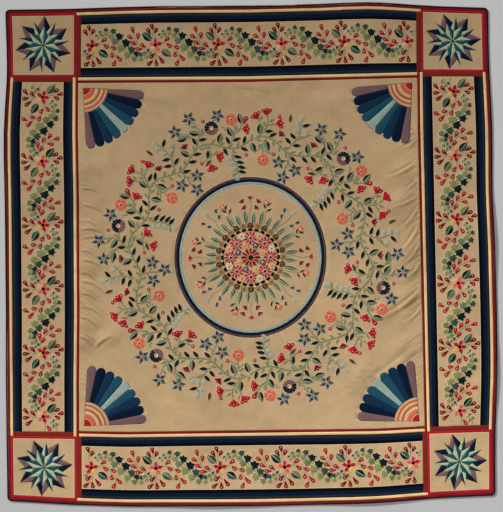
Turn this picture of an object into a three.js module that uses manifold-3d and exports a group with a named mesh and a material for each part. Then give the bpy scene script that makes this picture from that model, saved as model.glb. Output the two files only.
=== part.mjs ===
// A square tablecloth pieced and inlaid from wool broadcloth, lying face up and nearly flat.
// Millimetres, X across the cloth, Y up its length, Z up from the surface that it lies on.
// The origin is the middle of the cloth, on that surface.
import * as THREE from "three";
import { mergeVertices } from "three/addons/utils/BufferGeometryUtils.js";
import Module from "manifold-3d";

const wasm = await Module();
wasm.setup();

// The cloth as it was cut, before it pulled out of square
const CLOTH_WIDTH = 1712;
const CLOTH_LENGTH = 1748;
const CLOTH_THICKNESS = 1.8;
const BINDING_THICKNESS = 3;
const CORNER_RADIUS = 15;
const SEAM_GAP = 0.3;

// Widths of the border's strips, in order from the outer edge inwards
const STRIP_WIDTHS = {
  binding: 4.5,
  outerRed: 9.5,
  outerCream: 10,
  outerBand: 33,
  flowers: 152,
  innerBand: 33,
  innerCream: 10.5,
  innerRed: 9,
};
const END_BAR_WIDTH = 16;
const FRAME_WIDTH = 9.5;

// The squares in the border's corners, and how far from the middle of the cloth each one's inner side is
const CORNERS = [
  { name: "top_left", x: -1, y: 1, reach: 601 },
  { name: "top_right", x: 1, y: 1, reach: 608 },
  { name: "bottom_left", x: -1, y: -1, reach: 602 },
  { name: "bottom_right", x: 1, y: -1, reach: 602 },
];

// The ring round the middle: an upright oval of three narrow bands
const RING = {
  x: 2,
  y: -5,
  halfWidth: 265,
  halfHeight: 283,
  mauve: 8,
  navy: 9.5,
  sky: 8,
  steps: 60,
};

// The seven-pointed compass star in each corner square
const STAR = { points: 7, longReach: 102, shortReach: 90, valley: 68, valleyShare: 0.37 };
const STAR_TURNS = { top_left: 86.6, top_right: 108.3, bottom_left: 110.6, bottom_right: 104.3 };

// The fan patch in each corner of the centre panel: a quarter round whose blades end in scallops
const PATCH = { inset: 18, blades: 9, notch: 198, scallop: 18, firstAngle: 3, lastAngle: 87, steps: 6 };

// How far the cloth's main lines have pulled away from their straight cut lines.
// Across: rows run in even steps from the bottom edge of the cloth to its top edge.
const PULL_ACROSS = [
  { leftEdge: 5.5, leftSeam: -4.0, rightSeam: 19.5, rightEdge: 0.5 },
  { leftEdge: 2.7, leftSeam: -5.0, rightSeam: 16.2, rightEdge: 0.8 },
  { leftEdge: 0.3, leftSeam: -5.4, rightSeam: 10.6, rightEdge: 7.5 },
  { leftEdge: 0.2, leftSeam: -3.3, rightSeam: 5.8, rightEdge: 6.0 },
  { leftEdge: -1.8, leftSeam: -4.7, rightSeam: 0.8, rightEdge: -0.3 },
  { leftEdge: -4.0, leftSeam: -5.4, rightSeam: -3.0, rightEdge: -9.0 },
  { leftEdge: -7.4, leftSeam: -9.2, rightSeam: -9.0, rightEdge: -10.4 },
  { leftEdge: 3.7, leftSeam: -8.2, rightSeam: -10.7, rightEdge: -20.9 },
  { leftEdge: -1.5, leftSeam: -7.5, rightSeam: -11.8, rightEdge: -24.8 },
];
// Along: rows run in even steps from the left edge of the cloth to its right edge.
const PULL_ALONG = [
  { bottomEdge: 11.6, bottomSeam: -3.2, topSeam: -12.6, topEdge: -17.2 },
  { bottomEdge: 0.1, bottomSeam: -4.2, topSeam: -12.6, topEdge: -14.4 },
  { bottomEdge: -7.0, bottomSeam: -8.0, topSeam: -10.8, topEdge: -7.4 },
  { bottomEdge: -7.0, bottomSeam: -4.2, topSeam: -9.4, topEdge: -3.9 },
  { bottomEdge: -6.2, bottomSeam: -1.0, topSeam: -8.8, topEdge: -2.8 },
  { bottomEdge: -2.4, bottomSeam: 0.7, topSeam: -3.2, topEdge: 1.7 },
  { bottomEdge: 5.3, bottomSeam: 3.5, topSeam: 2.4, topEdge: 8.3 },
  { bottomEdge: 21.4, bottomSeam: 14.3, topSeam: 7.4, topEdge: -3.2 },
  { bottomEdge: 30.8, bottomSeam: 19.6, topSeam: 7.4, topEdge: -10.2 },
];

// The main folds: soft ridges from one point to another, with the height of the crest and half the width
const FOLDS = [
  { x1: -645, y1: 318, x2: -470, y2: 298, height: 4.0, halfWidth: 48 },
  { x1: -645, y1: 92, x2: -490, y2: 104, height: 4.0, halfWidth: 42 },
  { x1: -645, y1: -18, x2: -520, y2: -62, height: 5.0, halfWidth: 42 },
  { x1: -645, y1: -88, x2: -505, y2: -140, height: 4.5, halfWidth: 42 },
  { x1: -645, y1: -225, x2: -520, y2: -262, height: 4.0, halfWidth: 42 },
  { x1: -645, y1: -278, x2: -535, y2: -318, height: 5.5, halfWidth: 45 },
  { x1: -545, y1: -316, x2: -435, y2: -258, height: 5.0, halfWidth: 45 },
  { x1: 592, y1: 318, x2: 470, y2: 262, height: 3.5, halfWidth: 45 },
  { x1: 592, y1: 210, x2: 440, y2: 146, height: 4.5, halfWidth: 48 },
  { x1: 594, y1: 66, x2: 505, y2: -48, height: 5.5, halfWidth: 48 },
  { x1: 596, y1: -24, x2: 510, y2: -96, height: 4.5, halfWidth: 42 },
  { x1: 598, y1: -112, x2: 500, y2: -176, height: 6.0, halfWidth: 48 },
  { x1: 520, y1: -166, x2: 420, y2: -226, height: 5.5, halfWidth: 50 },
  { x1: 604, y1: -296, x2: 450, y2: -346, height: 4.5, halfWidth: 48 },
  { x1: 470, y1: -336, x2: 300, y2: -500, height: 4.0, halfWidth: 52 },
  { x1: -380, y1: 566, x2: -240, y2: 546, height: 3.0, halfWidth: 50 },
  { x1: 190, y1: 534, x2: 340, y2: 520, height: 3.5, halfWidth: 52 },
];
// Broad low swells where the border doesn't lie quite flat
const SWELLS = [
  { x: -860, y: 250, reachX: 150, reachY: 190, height: 3.5 },
  { x: -870, y: -330, reachX: 140, reachY: 170, height: 2.5 },
  { x: 870, y: 60, reachX: 160, reachY: 200, height: 4.0 },
  { x: 865, y: -420, reachX: 140, reachY: 160, height: 3.0 },
  { x: -250, y: 885, reachX: 210, reachY: 140, height: 3.0 },
  { x: 410, y: 885, reachX: 200, reachY: 150, height: 4.0 },
  { x: -120, y: -885, reachX: 220, reachY: 140, height: 3.0 },
  { x: 430, y: -880, reachX: 180, reachY: 150, height: 3.5 },
];

// Cells of the sheets, from the middle of the cloth out to the panel's seam: closer where the folds are
const PANEL_CELLS_ACROSS = { innerReach: 420, innerCells: 5, outerCells: 4 };
const PANEL_CELLS_ALONG = { innerReach: 350, innerCells: 8, outerCells: 3 };
const FLOWER_STRIP_CELLS = 2;
// Two cell lines nearer than this are one
const MIN_CELL = 2;

const WOOL = { roughness: 0.92, metalness: 0 };
const MATERIALS = {
  beige: new THREE.MeshStandardMaterial({ color: "#b8996e", ...WOOL }),
  cream: new THREE.MeshStandardMaterial({ color: "#d8b57c", ...WOOL }),
  madder: new THREE.MeshStandardMaterial({ color: "#7a1a22", ...WOOL }),
  scarlet: new THREE.MeshStandardMaterial({ color: "#a81e2c", ...WOOL }),
  russet: new THREE.MeshStandardMaterial({ color: "#6f2419", ...WOOL }),
  navy: new THREE.MeshStandardMaterial({ color: "#131b2e", ...WOOL }),
  mauve: new THREE.MeshStandardMaterial({ color: "#6a4a4c", ...WOOL }),
  sky: new THREE.MeshStandardMaterial({ color: "#7f9488", ...WOOL }),
  indigo: new THREE.MeshStandardMaterial({ color: "#17324a", ...WOOL }),
  black: new THREE.MeshStandardMaterial({ color: "#15131a", ...WOOL }),
};

const HALF_WIDTH = CLOTH_WIDTH / 2;
const HALF_LENGTH = CLOTH_LENGTH / 2;

// Distance of each strip's outer edge from the edge of the cloth
const STARTS = {};
let borderDepth = 0;
for (const [strip, width] of Object.entries(STRIP_WIDTHS)) {
  STARTS[strip] = borderDepth;
  borderDepth += width;
}
const SEAM_X = HALF_WIDTH - borderDepth;
const SEAM_Y = HALF_LENGTH - borderDepth;

// Lines across which every sheet is divided, so that neighbours bend at the same places
function cellLines(half, seam, cells) {
  const lines = [];
  const divide = (from, to, count) => {
    for (let i = 0; i < count; i++) {
      lines.push(THREE.MathUtils.lerp(from, to, i / count));
    }
  };
  divide(0, cells.innerReach, cells.innerCells);
  divide(cells.innerReach, seam, cells.outerCells);
  lines.push(seam, half - STARTS.innerCream - END_BAR_WIDTH, half - STARTS.innerRed, half - STARTS.innerCream);
  divide(half - STARTS.innerBand, half - STARTS.flowers, FLOWER_STRIP_CELLS);
  lines.push(half - STARTS.flowers, half - STARTS.outerBand, half - STARTS.outerCream, half - STARTS.outerRed);
  return [...lines.slice(1).map((line) => -line).reverse(), ...lines];
}
const LINES_ACROSS = cellLines(HALF_WIDTH, SEAM_X, PANEL_CELLS_ACROSS);
const LINES_ALONG = cellLines(HALF_LENGTH, SEAM_Y, PANEL_CELLS_ALONG);

function linesBetween(lines, start, end) {
  return [start, ...lines.filter((line) => line > start + MIN_CELL && line < end - MIN_CELL), end];
}

const cloth = new THREE.Group();

// A smooth line through one column of a pull table
function pullLine(table, column) {
  const points = table.map((row, i) => new THREE.Vector2(i / (table.length - 1), row[column]));
  return new THREE.SplineCurve(points);
}
const ACROSS = ["leftEdge", "leftSeam", "rightSeam", "rightEdge"].map((c) => pullLine(PULL_ACROSS, c));
const ALONG = ["bottomEdge", "bottomSeam", "topSeam", "topEdge"].map((c) => pullLine(PULL_ALONG, c));

// The pull at a place: each of the four lines is read at share, and they blend in straight steps between
function pullAt(lines, share, at, seam, half) {
  const pulls = lines.map((line) => line.getPoint(THREE.MathUtils.clamp(share, 0, 1)).y);
  if (at < -seam) {
    return THREE.MathUtils.mapLinear(at, -half, -seam, pulls[0], pulls[1]);
  }
  if (at > seam) {
    return THREE.MathUtils.mapLinear(at, seam, half, pulls[2], pulls[3]);
  }
  return THREE.MathUtils.mapLinear(at, -seam, seam, pulls[1], pulls[2]);
}

// Where a point of the cut cloth lies now
function place(x, y) {
  const upShare = (y + HALF_LENGTH) / CLOTH_LENGTH;
  const acrossShare = (x + HALF_WIDTH) / CLOTH_WIDTH;
  return new THREE.Vector2(
    x + pullAt(ACROSS, upShare, x, SEAM_X, HALF_WIDTH),
    y + pullAt(ALONG, acrossShare, y, SEAM_Y, HALF_LENGTH),
  );
}

function placed(outline) {
  return outline.map((point) => place(point.x, point.y));
}

// A smooth hump that is 1 at 0 and ends at 1 either side
function hump(distance) {
  const rest = 1 - Math.min(1, distance * distance);
  return rest * rest;
}

// How high the underside of the cloth stands off the surface at a place
function lift(x, y) {
  let height = 0;
  for (const fold of FOLDS) {
    const run = new THREE.Vector2(fold.x2 - fold.x1, fold.y2 - fold.y1);
    const from = new THREE.Vector2(x - fold.x1, y - fold.y1);
    const share = from.dot(run) / run.lengthSq();
    const off = Math.abs(from.cross(run)) / run.length();
    height = Math.max(height, fold.height * hump(off / fold.halfWidth) * hump(2 * share - 1));
  }
  for (const swell of SWELLS) {
    const away = Math.hypot((x - swell.x) / swell.reachX, (y - swell.y) / swell.reachY);
    height = Math.max(height, swell.height * hump(away));
  }
  return height;
}

// Lifts the points of a flat geometry onto the folds
function raise(geometry) {
  const points = geometry.getAttribute("position");
  for (let i = 0; i < points.count; i++) {
    points.setZ(i, points.getZ(i) + lift(points.getX(i), points.getY(i)));
  }
  return geometry;
}

// A sheet of cells between two sides and two ends of the cut cloth
function sheet(x0, x1, y0, y1) {
  const columns = linesBetween(LINES_ACROSS, x0, x1);
  const rows = linesBetween(LINES_ALONG, y0, y1);
  const [across, along] = [columns.length - 1, rows.length - 1];
  const box = new THREE.BoxGeometry(across, along, CLOTH_THICKNESS, across, along, 1);
  const points = box.getAttribute("position");
  for (let i = 0; i < points.count; i++) {
    const column = Math.round(points.getX(i) + across / 2);
    const row = Math.round(points.getY(i) + along / 2);
    const spot = place(columns[column], rows[row]);
    points.setXYZ(i, spot.x, spot.y, points.getZ(i) + CLOTH_THICKNESS / 2);
  }
  return raise(box);
}

// A flat piece of the given outline, with an optional hole of another
function flatPiece(outline, hole, thickness = CLOTH_THICKNESS) {
  const shape = new THREE.Shape(placed(outline));
  if (hole) {
    shape.holes.push(new THREE.Path(placed(hole)));
  }
  return raise(new THREE.ExtrudeGeometry(shape, { depth: thickness, bevelEnabled: false, steps: 1 }));
}

function solidOf(geometry) {
  const bare = geometry.clone();
  bare.deleteAttribute("normal");
  bare.deleteAttribute("uv");
  const merged = mergeVertices(bare, 1e-3);
  return new wasm.Manifold(
    new wasm.Mesh({
      numProp: 3,
      vertProperties: merged.getAttribute("position").array,
      triVerts: new Uint32Array(merged.index.array),
    }),
  );
}

function geometryOf(solid) {
  const mesh = solid.getMesh();
  const geometry = new THREE.BufferGeometry();
  geometry.setAttribute("position", new THREE.BufferAttribute(new Float32Array(mesh.vertProperties), 3));
  geometry.setIndex(new THREE.BufferAttribute(new Uint32Array(mesh.triVerts), 1));
  return geometry;
}

// A straight-sided cutter that reaches well above and below the cloth
function cutter(outline) {
  const reach = 40;
  const shape = new THREE.Shape(placed(outline));
  const prism = new THREE.ExtrudeGeometry(shape, { depth: reach, bevelEnabled: false, steps: 1 });
  return solidOf(prism.translate(0, 0, -reach / 2));
}

function grown(outline, centre, share) {
  return outline.map((p) => p.clone().sub(centre).multiplyScalar(share).add(centre));
}

function addPiece(name, geometry, material) {
  const mesh = new THREE.Mesh(geometry, material);
  mesh.name = name;
  cloth.add(mesh);
}

// Outlines in the cut cloth
function oval(inset) {
  return new THREE.EllipseCurve(RING.x, RING.y, RING.halfWidth - inset, RING.halfHeight - inset, 0, 2 * Math.PI)
    .getPoints(RING.steps)
    .slice(0, -1);
}

function rectangle(x0, x1, y0, y1) {
  const columns = linesBetween(LINES_ACROSS, x0, x1);
  const rows = linesBetween(LINES_ALONG, y0, y1);
  return [
    ...columns.slice(0, -1).map((x) => new THREE.Vector2(x, y0)),
    ...rows.slice(0, -1).map((y) => new THREE.Vector2(x1, y)),
    ...columns.slice(1).reverse().map((x) => new THREE.Vector2(x, y1)),
    ...rows.slice(1).reverse().map((y) => new THREE.Vector2(x0, y)),
  ];
}

// The cloth's outline, set in from its edge, with its corners rounded
function rimOutline(inset) {
  const arcSteps = 4;
  const radius = CORNER_RADIUS - inset;
  const [cornerX, cornerY] = [HALF_WIDTH - CORNER_RADIUS, HALF_LENGTH - CORNER_RADIUS];
  const arc = (signX, signY, start) => {
    const points = [];
    for (let k = 0; k <= arcSteps; k++) {
      const angle = THREE.MathUtils.degToRad(start + (90 * k) / arcSteps);
      points.push(
        new THREE.Vector2(signX * cornerX + radius * Math.cos(angle), signY * cornerY + radius * Math.sin(angle)),
      );
    }
    return points;
  };
  const columns = linesBetween(LINES_ACROSS, -cornerX, cornerX).slice(1, -1);
  const rows = linesBetween(LINES_ALONG, -cornerY, cornerY).slice(1, -1);
  return [
    ...arc(-1, -1, 180),
    ...columns.map((x) => new THREE.Vector2(x, inset - HALF_LENGTH)),
    ...arc(1, -1, 270),
    ...rows.map((y) => new THREE.Vector2(HALF_WIDTH - inset, y)),
    ...arc(1, 1, 0),
    ...columns.reverse().map((x) => new THREE.Vector2(x, HALF_LENGTH - inset)),
    ...arc(-1, 1, 90),
    ...rows.reverse().map((y) => new THREE.Vector2(inset - HALF_WIDTH, y)),
  ];
}

function starOutline(centre, turn) {
  const outline = [];
  const step = 360 / STAR.points;
  const polar = (reach, angle) => {
    const radians = THREE.MathUtils.degToRad(angle);
    return new THREE.Vector2(Math.cos(radians), Math.sin(radians)).multiplyScalar(reach).add(centre);
  };
  for (let i = 0; i < STAR.points; i++) {
    const angle = turn + i * step;
    outline.push(polar(STAR.longReach, angle));
    outline.push(polar(STAR.valley, angle + step * STAR.valleyShare));
    outline.push(polar(STAR.shortReach, angle + step / 2));
    outline.push(polar(STAR.valley, angle + step * (1 - STAR.valleyShare)));
  }
  return outline;
}

// The opening for a patch has the same outline with a clearance all round
function patchOutline(signX, signY, clearance = 0) {
  const originX = SEAM_X - PATCH.inset + clearance;
  const originY = SEAM_Y - PATCH.inset + clearance;
  // The scallops' steep flanks need more clearance along the blades to keep it between them
  const lengthen = 4 * clearance;
  const outline = [new THREE.Vector2(signX * originX, signY * originY)];
  for (let k = 0; k <= PATCH.blades * PATCH.steps; k++) {
    const across = ((k % PATCH.steps) / PATCH.steps) * 2 - 1;
    const reach = PATCH.notch + PATCH.scallop * Math.sqrt(1 - across * across) + lengthen;
    const share = k / (PATCH.blades * PATCH.steps);
    const angle = THREE.MathUtils.degToRad(THREE.MathUtils.lerp(PATCH.firstAngle, PATCH.lastAngle, share));
    outline.push(
      new THREE.Vector2(signX * (originX - reach * Math.cos(angle)), signY * (originY - reach * Math.sin(angle))),
    );
  }
  return signX * signY > 0 ? outline : outline.reverse();
}

// The panel in the middle, with openings for the ring and the four patches
function centrePanel() {
  const half = SEAM_GAP / 2;
  let panel = solidOf(sheet(-SEAM_X + half, SEAM_X - half, -SEAM_Y + half, SEAM_Y - half));
  panel = panel.subtract(cutter(oval(-SEAM_GAP)));
  for (const corner of CORNERS) {
    panel = panel.subtract(cutter(patchOutline(corner.x, corner.y, SEAM_GAP)));
  }
  addPiece("centre_panel", geometryOf(panel), MATERIALS.beige);
}

function ringAndDisc() {
  const insets = [0, RING.mauve, RING.mauve + RING.navy, RING.mauve + RING.navy + RING.sky];
  ["mauve", "navy", "sky"].forEach((band, i) => {
    addPiece("ring_" + band, flatPiece(oval(insets[i]), oval(insets[i + 1] - SEAM_GAP)), MATERIALS[band]);
  });
  addPiece("medallion_disc", flatPiece(oval(insets[3])), MATERIALS.beige);
}

function cornerPatch(corner) {
  addPiece("patch_" + corner.name, flatPiece(patchOutline(corner.x, corner.y)), MATERIALS.indigo);
}

// A corner of the border: a framed square with a star let into it
function cornerSquare(corner) {
  const [outerX, outerY] = [HALF_WIDTH - STARTS.outerCream, HALF_LENGTH - STARTS.outerCream];
  const innerY = HALF_LENGTH - STARTS.innerCream;
  const [halfX, halfY] = [(outerX - corner.reach) / 2, (outerY - innerY) / 2];
  const centre = new THREE.Vector2((corner.x * (outerX + corner.reach)) / 2, (corner.y * (outerY + innerY)) / 2);
  const inset = (width) => [
    centre.x - halfX + width, centre.x + halfX - width, centre.y - halfY + width, centre.y + halfY - width,
  ];
  const opening = cutter(rectangle(...inset(FRAME_WIDTH - SEAM_GAP)));
  const frame = solidOf(sheet(...inset(SEAM_GAP / 2))).subtract(opening);
  addPiece("frame_" + corner.name, geometryOf(frame), MATERIALS.scarlet);
  const star = starOutline(centre, STAR_TURNS[corner.name]);
  const ground = solidOf(sheet(...inset(FRAME_WIDTH))).subtract(cutter(grown(star, centre, 1 + SEAM_GAP / 40)));
  addPiece("square_" + corner.name, geometryOf(ground), MATERIALS.beige);
  addPiece("star_" + corner.name, flatPiece(star), MATERIALS.navy);
}

const SIDES = [
  { name: "top", upright: false, sign: 1 },
  { name: "bottom", upright: false, sign: -1 },
  { name: "left", upright: true, sign: -1 },
  { name: "right", upright: true, sign: 1 },
];

// A sheet along one side of the cloth: from start to end along it, and from outer to inner across it
function sideSheet(side, start, end, outer, inner) {
  const half = side.upright ? HALF_WIDTH : HALF_LENGTH;
  const depths = [side.sign * (half - outer), side.sign * (half - inner)].sort((a, b) => a - b);
  const gap = SEAM_GAP / 2;
  const across = [depths[0] + gap, depths[1] - gap];
  const along = [start + gap, end - gap];
  return side.upright ? sheet(...across, ...along) : sheet(...along, ...across);
}

// The two ends of a side's strips, at the corner squares
function endsOf(side) {
  if (side.upright) {
    return [STARTS.innerCream - HALF_LENGTH, HALF_LENGTH - STARTS.innerCream];
  }
  return CORNERS.filter((corner) => corner.y === side.sign).map((corner) => corner.x * corner.reach);
}

// The strips of one side of the border, between the two corner squares
function border(side) {
  const reach = endsOf(side);
  const innerReach = side.upright ? reach : [-SEAM_X, SEAM_X];
  const barred = [reach[0] + END_BAR_WIDTH, reach[1] - END_BAR_WIDTH];
  const strips = [
    { name: "outer_cream", from: "outerCream", to: "outerBand", reach, material: "cream" },
    { name: "outer_band", from: "outerBand", to: "flowers", reach: barred, material: "navy" },
    { name: "flower_strip", from: "flowers", to: "innerBand", reach: barred, material: "beige" },
    { name: "inner_band", from: "innerBand", to: "innerCream", reach: barred, material: "navy" },
    { name: "inner_cream", from: "innerCream", to: "innerRed", reach: innerReach, material: "cream" },
    { name: "inner_red", from: "innerRed", to: null, reach: innerReach, material: "madder" },
  ];
  for (const strip of strips) {
    const inner = strip.to ? STARTS[strip.to] : borderDepth;
    const geometry = sideSheet(side, ...strip.reach, STARTS[strip.from], inner);
    addPiece(strip.name + "_" + side.name, geometry, MATERIALS[strip.material]);
  }
  const ends = side.upright ? ["bottom", "top"] : ["left", "right"];
  const bars = [[reach[0], barred[0]], [barred[1], reach[1]]];
  ends.forEach((end, i) => {
    const geometry = sideSheet(side, ...bars[i], STARTS.outerBand, STARTS.innerCream);
    addPiece("end_bar_" + side.name + "_" + end, geometry, MATERIALS.russet);
  });
}

// The outer red strips: those at top and bottom run the whole width and round the corners
function outerRed() {
  const rim = cutter(rimOutline(STARTS.outerRed));
  for (const side of SIDES) {
    const reach = side.upright ? HALF_LENGTH - STARTS.outerCream : HALF_WIDTH - STARTS.outerRed;
    const strip = sideSheet(side, -reach, reach, STARTS.outerRed, STARTS.outerCream);
    const geometry = side.upright ? strip : geometryOf(solidOf(strip).intersect(rim));
    addPiece("outer_red_" + side.name, geometry, MATERIALS.madder);
  }
}

// One dark binding sewn round the whole edge
function binding() {
  const inset = STRIP_WIDTHS.binding - SEAM_GAP;
  addPiece("edge_binding", flatPiece(rimOutline(0), rimOutline(inset), BINDING_THICKNESS), MATERIALS.black);
}

centrePanel();
ringAndDisc();
for (const corner of CORNERS) {
  cornerPatch(corner);
  cornerSquare(corner);
}
for (const side of SIDES) {
  border(side);
}
outerRed();
binding();

export default cloth;
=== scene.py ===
"""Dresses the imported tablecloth: fulled wool pieced edge to edge, with inlaid and chain-stitched motifs."""

import math

import bmesh
import bpy
import numpy as np
from bpy.props import FloatProperty, FloatVectorProperty, PointerProperty
from bpy.types import Operator, Panel, PropertyGroup
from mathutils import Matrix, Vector


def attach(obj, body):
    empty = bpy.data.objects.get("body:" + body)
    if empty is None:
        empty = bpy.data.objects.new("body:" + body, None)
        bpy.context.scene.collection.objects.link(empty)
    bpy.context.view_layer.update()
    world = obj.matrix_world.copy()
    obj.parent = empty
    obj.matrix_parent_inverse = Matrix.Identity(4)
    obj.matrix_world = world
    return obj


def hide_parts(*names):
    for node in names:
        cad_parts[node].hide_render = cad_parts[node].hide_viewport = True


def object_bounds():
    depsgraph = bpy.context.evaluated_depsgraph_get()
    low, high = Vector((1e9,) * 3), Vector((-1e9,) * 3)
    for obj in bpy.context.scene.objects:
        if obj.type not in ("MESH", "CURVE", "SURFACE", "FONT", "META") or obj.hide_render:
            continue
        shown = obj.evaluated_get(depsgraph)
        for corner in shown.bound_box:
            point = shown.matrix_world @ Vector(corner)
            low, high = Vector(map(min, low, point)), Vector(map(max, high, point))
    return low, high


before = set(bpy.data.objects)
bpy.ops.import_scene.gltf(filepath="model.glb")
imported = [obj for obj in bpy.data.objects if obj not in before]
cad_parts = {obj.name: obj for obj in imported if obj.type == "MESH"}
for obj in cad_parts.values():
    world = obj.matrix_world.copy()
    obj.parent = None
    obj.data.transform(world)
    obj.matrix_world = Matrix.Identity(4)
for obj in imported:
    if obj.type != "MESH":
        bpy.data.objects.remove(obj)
CAD_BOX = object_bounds()

bl_info = {
    "name": "Inlaid Wool Tablecloth",
    "version": (1, 0, 0),
    "blender": (4, 5, 0),
    "location": "3D View > Sidebar > Tablecloth",
    "description": "Dresses a pieced wool tablecloth with creases, inlaid motifs and chain stitching",
    "category": "Add Mesh",
}

MM = 0.001

# The cloth as it was cut, in metres: half its width and length, and where strips start from its edge inwards
HALF_WIDTH, HALF_LENGTH = 0.856, 0.874
OUTER_CREAM, OUTER_BAND, FLOWERS = 14 * MM, 24 * MM, 57 * MM
INNER_BAND, INNER_CREAM, FIELD = 209 * MM, 242 * MM, 261.5 * MM
SEAM_X, SEAM_Y = HALF_WIDTH - FIELD, HALF_LENGTH - FIELD
END_BAR = 16 * MM
FRAME_BAR = 9.5 * MM
BRAID_THICKNESS = 3 * MM
RING = {"x": 2 * MM, "y": -5 * MM, "half_width": 265 * MM, "half_height": 283 * MM}
RING_DEPTH = 25.5 * MM
STAR_TURNS = {"top_left": 86.6, "top_right": 108.3, "bottom_left": 110.6, "bottom_right": 104.3}
# Which way each corner lies across and along, and how far from the middle its square's inner side is
CORNERS = {
    "top_left": (-1, 1, 601 * MM),
    "top_right": (1, 1, 608 * MM),
    "bottom_left": (-1, -1, 602 * MM),
    "bottom_right": (1, -1, 602 * MM),
}
# The corner fans: how far in from the seams, reach of the notches, scallops and heel, and the turns of the
# first and last blades' outer edges in degrees
FAN = {
    "inset": 18 * MM,
    "blades": 9,
    "notch": 202 * MM,
    "scallop": 14 * MM,
    "first": 3,
    "last": 87,
    "heel": 86 * MM,
}

# How far the seams and edges pulled away from their cut lines, in millimetres, as in the part's source.
# Across: left edge, left seam, right seam, right edge, in even steps from the bottom of the cloth to its top.
PULL_ACROSS = np.array(
    [
        (5.5, -4.0, 19.5, 0.5),
        (2.7, -5.0, 16.2, 0.8),
        (0.3, -5.4, 10.6, 7.5),
        (0.2, -3.3, 5.8, 6.0),
        (-1.8, -4.7, 0.8, -0.3),
        (-4.0, -5.4, -3.0, -9.0),
        (-7.4, -9.2, -9.0, -10.4),
        (3.7, -8.2, -10.7, -20.9),
        (-1.5, -7.5, -11.8, -24.8),
    ]
)
# Along: bottom edge, bottom seam, top seam, top edge, in even steps from the left of the cloth to its right.
PULL_ALONG = np.array(
    [
        (11.6, -3.2, -12.6, -17.2),
        (0.1, -4.2, -12.6, -14.4),
        (-7.0, -8.0, -10.8, -7.4),
        (-7.0, -4.2, -9.4, -3.9),
        (-6.2, -1.0, -8.8, -2.8),
        (-2.4, 0.7, -3.2, 1.7),
        (5.3, 3.5, 2.4, 8.3),
        (21.4, 14.3, 7.4, -3.2),
        (30.8, 19.6, 7.4, -10.2),
    ]
)

# The main folds, as in the part's source: x and y of each end, height and half width, in millimetres
FOLDS = (
    (-645, 318, -470, 298, 4.0, 48),
    (-645, 92, -490, 104, 4.0, 42),
    (-645, -18, -520, -62, 5.0, 42),
    (-645, -88, -505, -140, 4.5, 42),
    (-645, -225, -520, -262, 4.0, 42),
    (-645, -278, -535, -318, 5.5, 45),
    (-545, -316, -435, -258, 5.0, 45),
    (592, 318, 470, 262, 3.5, 45),
    (592, 210, 440, 146, 4.5, 48),
    (594, 66, 505, -48, 5.5, 48),
    (596, -24, 510, -96, 4.5, 42),
    (598, -112, 500, -176, 6.0, 48),
    (520, -166, 420, -226, 5.5, 50),
    (604, -296, 450, -346, 4.5, 48),
    (470, -336, 300, -500, 4.0, 52),
    (-380, 566, -240, 546, 3.0, 50),
    (190, 534, 340, 520, 3.5, 52),
)
# Low swells of the border: x, y, reach across, reach along, height
SWELLS = (
    (-860, 250, 150, 190, 3.5),
    (-870, -330, 140, 170, 2.5),
    (870, 60, 160, 200, 4.0),
    (865, -420, 140, 160, 3.0),
    (-250, 885, 210, 140, 3.0),
    (410, 885, 200, 150, 4.0),
    (-120, -885, 220, 140, 3.0),
    (430, -880, 180, 150, 3.5),
)
# Sharp fine creases that run off the seams: x and y of each end, how far they bow, height and half width
CREASES = (
    (-592, 232, -520, 214, 8, 1.3, 7),
    (-592, 176, -500, 140, 10, 1.4, 8),
    (-592, 120, -515, 92, 9, 1.2, 7),
    (-592, 92, -505, 74, 8, 1.8, 8),
    (-590, 60, -470, 52, 10, 1.2, 9),
    (-592, 20, -520, -20, 9, 1.4, 8),
    (-592, -16, -500, -56, 12, 2.0, 9),
    (-592, -60, -530, -96, 10, 1.5, 8),
    (-592, -88, -490, -150, 16, 2.2, 10),
    (-592, -132, -520, -178, 12, 1.7, 8),
    (-592, -178, -500, -236, 14, 1.6, 8),
    (-592, -214, -520, -268, 12, 1.8, 9),
    (-590, -282, -540, -324, 6, 2.0, 10),
    (-545, -322, -470, -276, 8, 1.8, 12),
    (572, 434, 530, 420, 4, 1.4, 8),
    (574, 398, 528, 372, 6, 1.5, 8),
    (578, 322, 462, 268, 8, 1.8, 10),
    (582, 262, 520, 222, 6, 1.3, 8),
    (584, 206, 482, 166, 8, 1.6, 9),
    (586, 168, 512, 86, 10, 1.8, 9),
    (588, 104, 500, -4, 12, 2.0, 10),
    (590, 40, 520, -40, 10, 1.5, 9),
    (592, -28, 540, -86, 6, 1.8, 9),
    (596, -120, 430, -230, 14, 2.3, 12),
    (600, -180, 520, -246, 8, 1.4, 9),
    (602, -300, 280, -520, 20, 1.4, 18),
    (450, -370, 262, -530, 16, 1.2, 16),
    (2, -285, 3, -610, 0, 0.7, 9),
    (2, 276, 3, 606, 0, 0.6, 9),
    (-420, 560, -250, 524, 6, 0.8, 14),
    (-60, 596, 120, 560, 8, 0.8, 14),
)
# Gathers along the side seams, where the field was eased into its border:
# side, from, to, reach, pitch, height, slope
GATHERS = (
    ("left", 440, 140, 75, 18, 0.6, 0.35),
    ("left", 230, -60, 120, 18, 0.95, 0.95),
    ("left", -20, -390, 100, 23, 1.05, 0.8),
    ("left", -330, -560, 80, 20, 0.6, 0.5),
    ("right", 480, 230, 85, 19, 0.8, 0.7),
    ("right", 290, 20, 115, 20, 1.0, 1.0),
    ("right", 60, -240, 100, 24, 1.1, 0.9),
    ("right", -200, -500, 95, 22, 0.8, 0.9),
)


def linear(hex_colour):
    """An sRGB hex colour as linear red, green and blue."""
    parts = [int(hex_colour[i : i + 2], 16) / 255 for i in (1, 3, 5)]
    return tuple(c / 12.92 if c <= 0.04045 else ((c + 0.055) / 1.055) ** 2.4 for c in parts)


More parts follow.
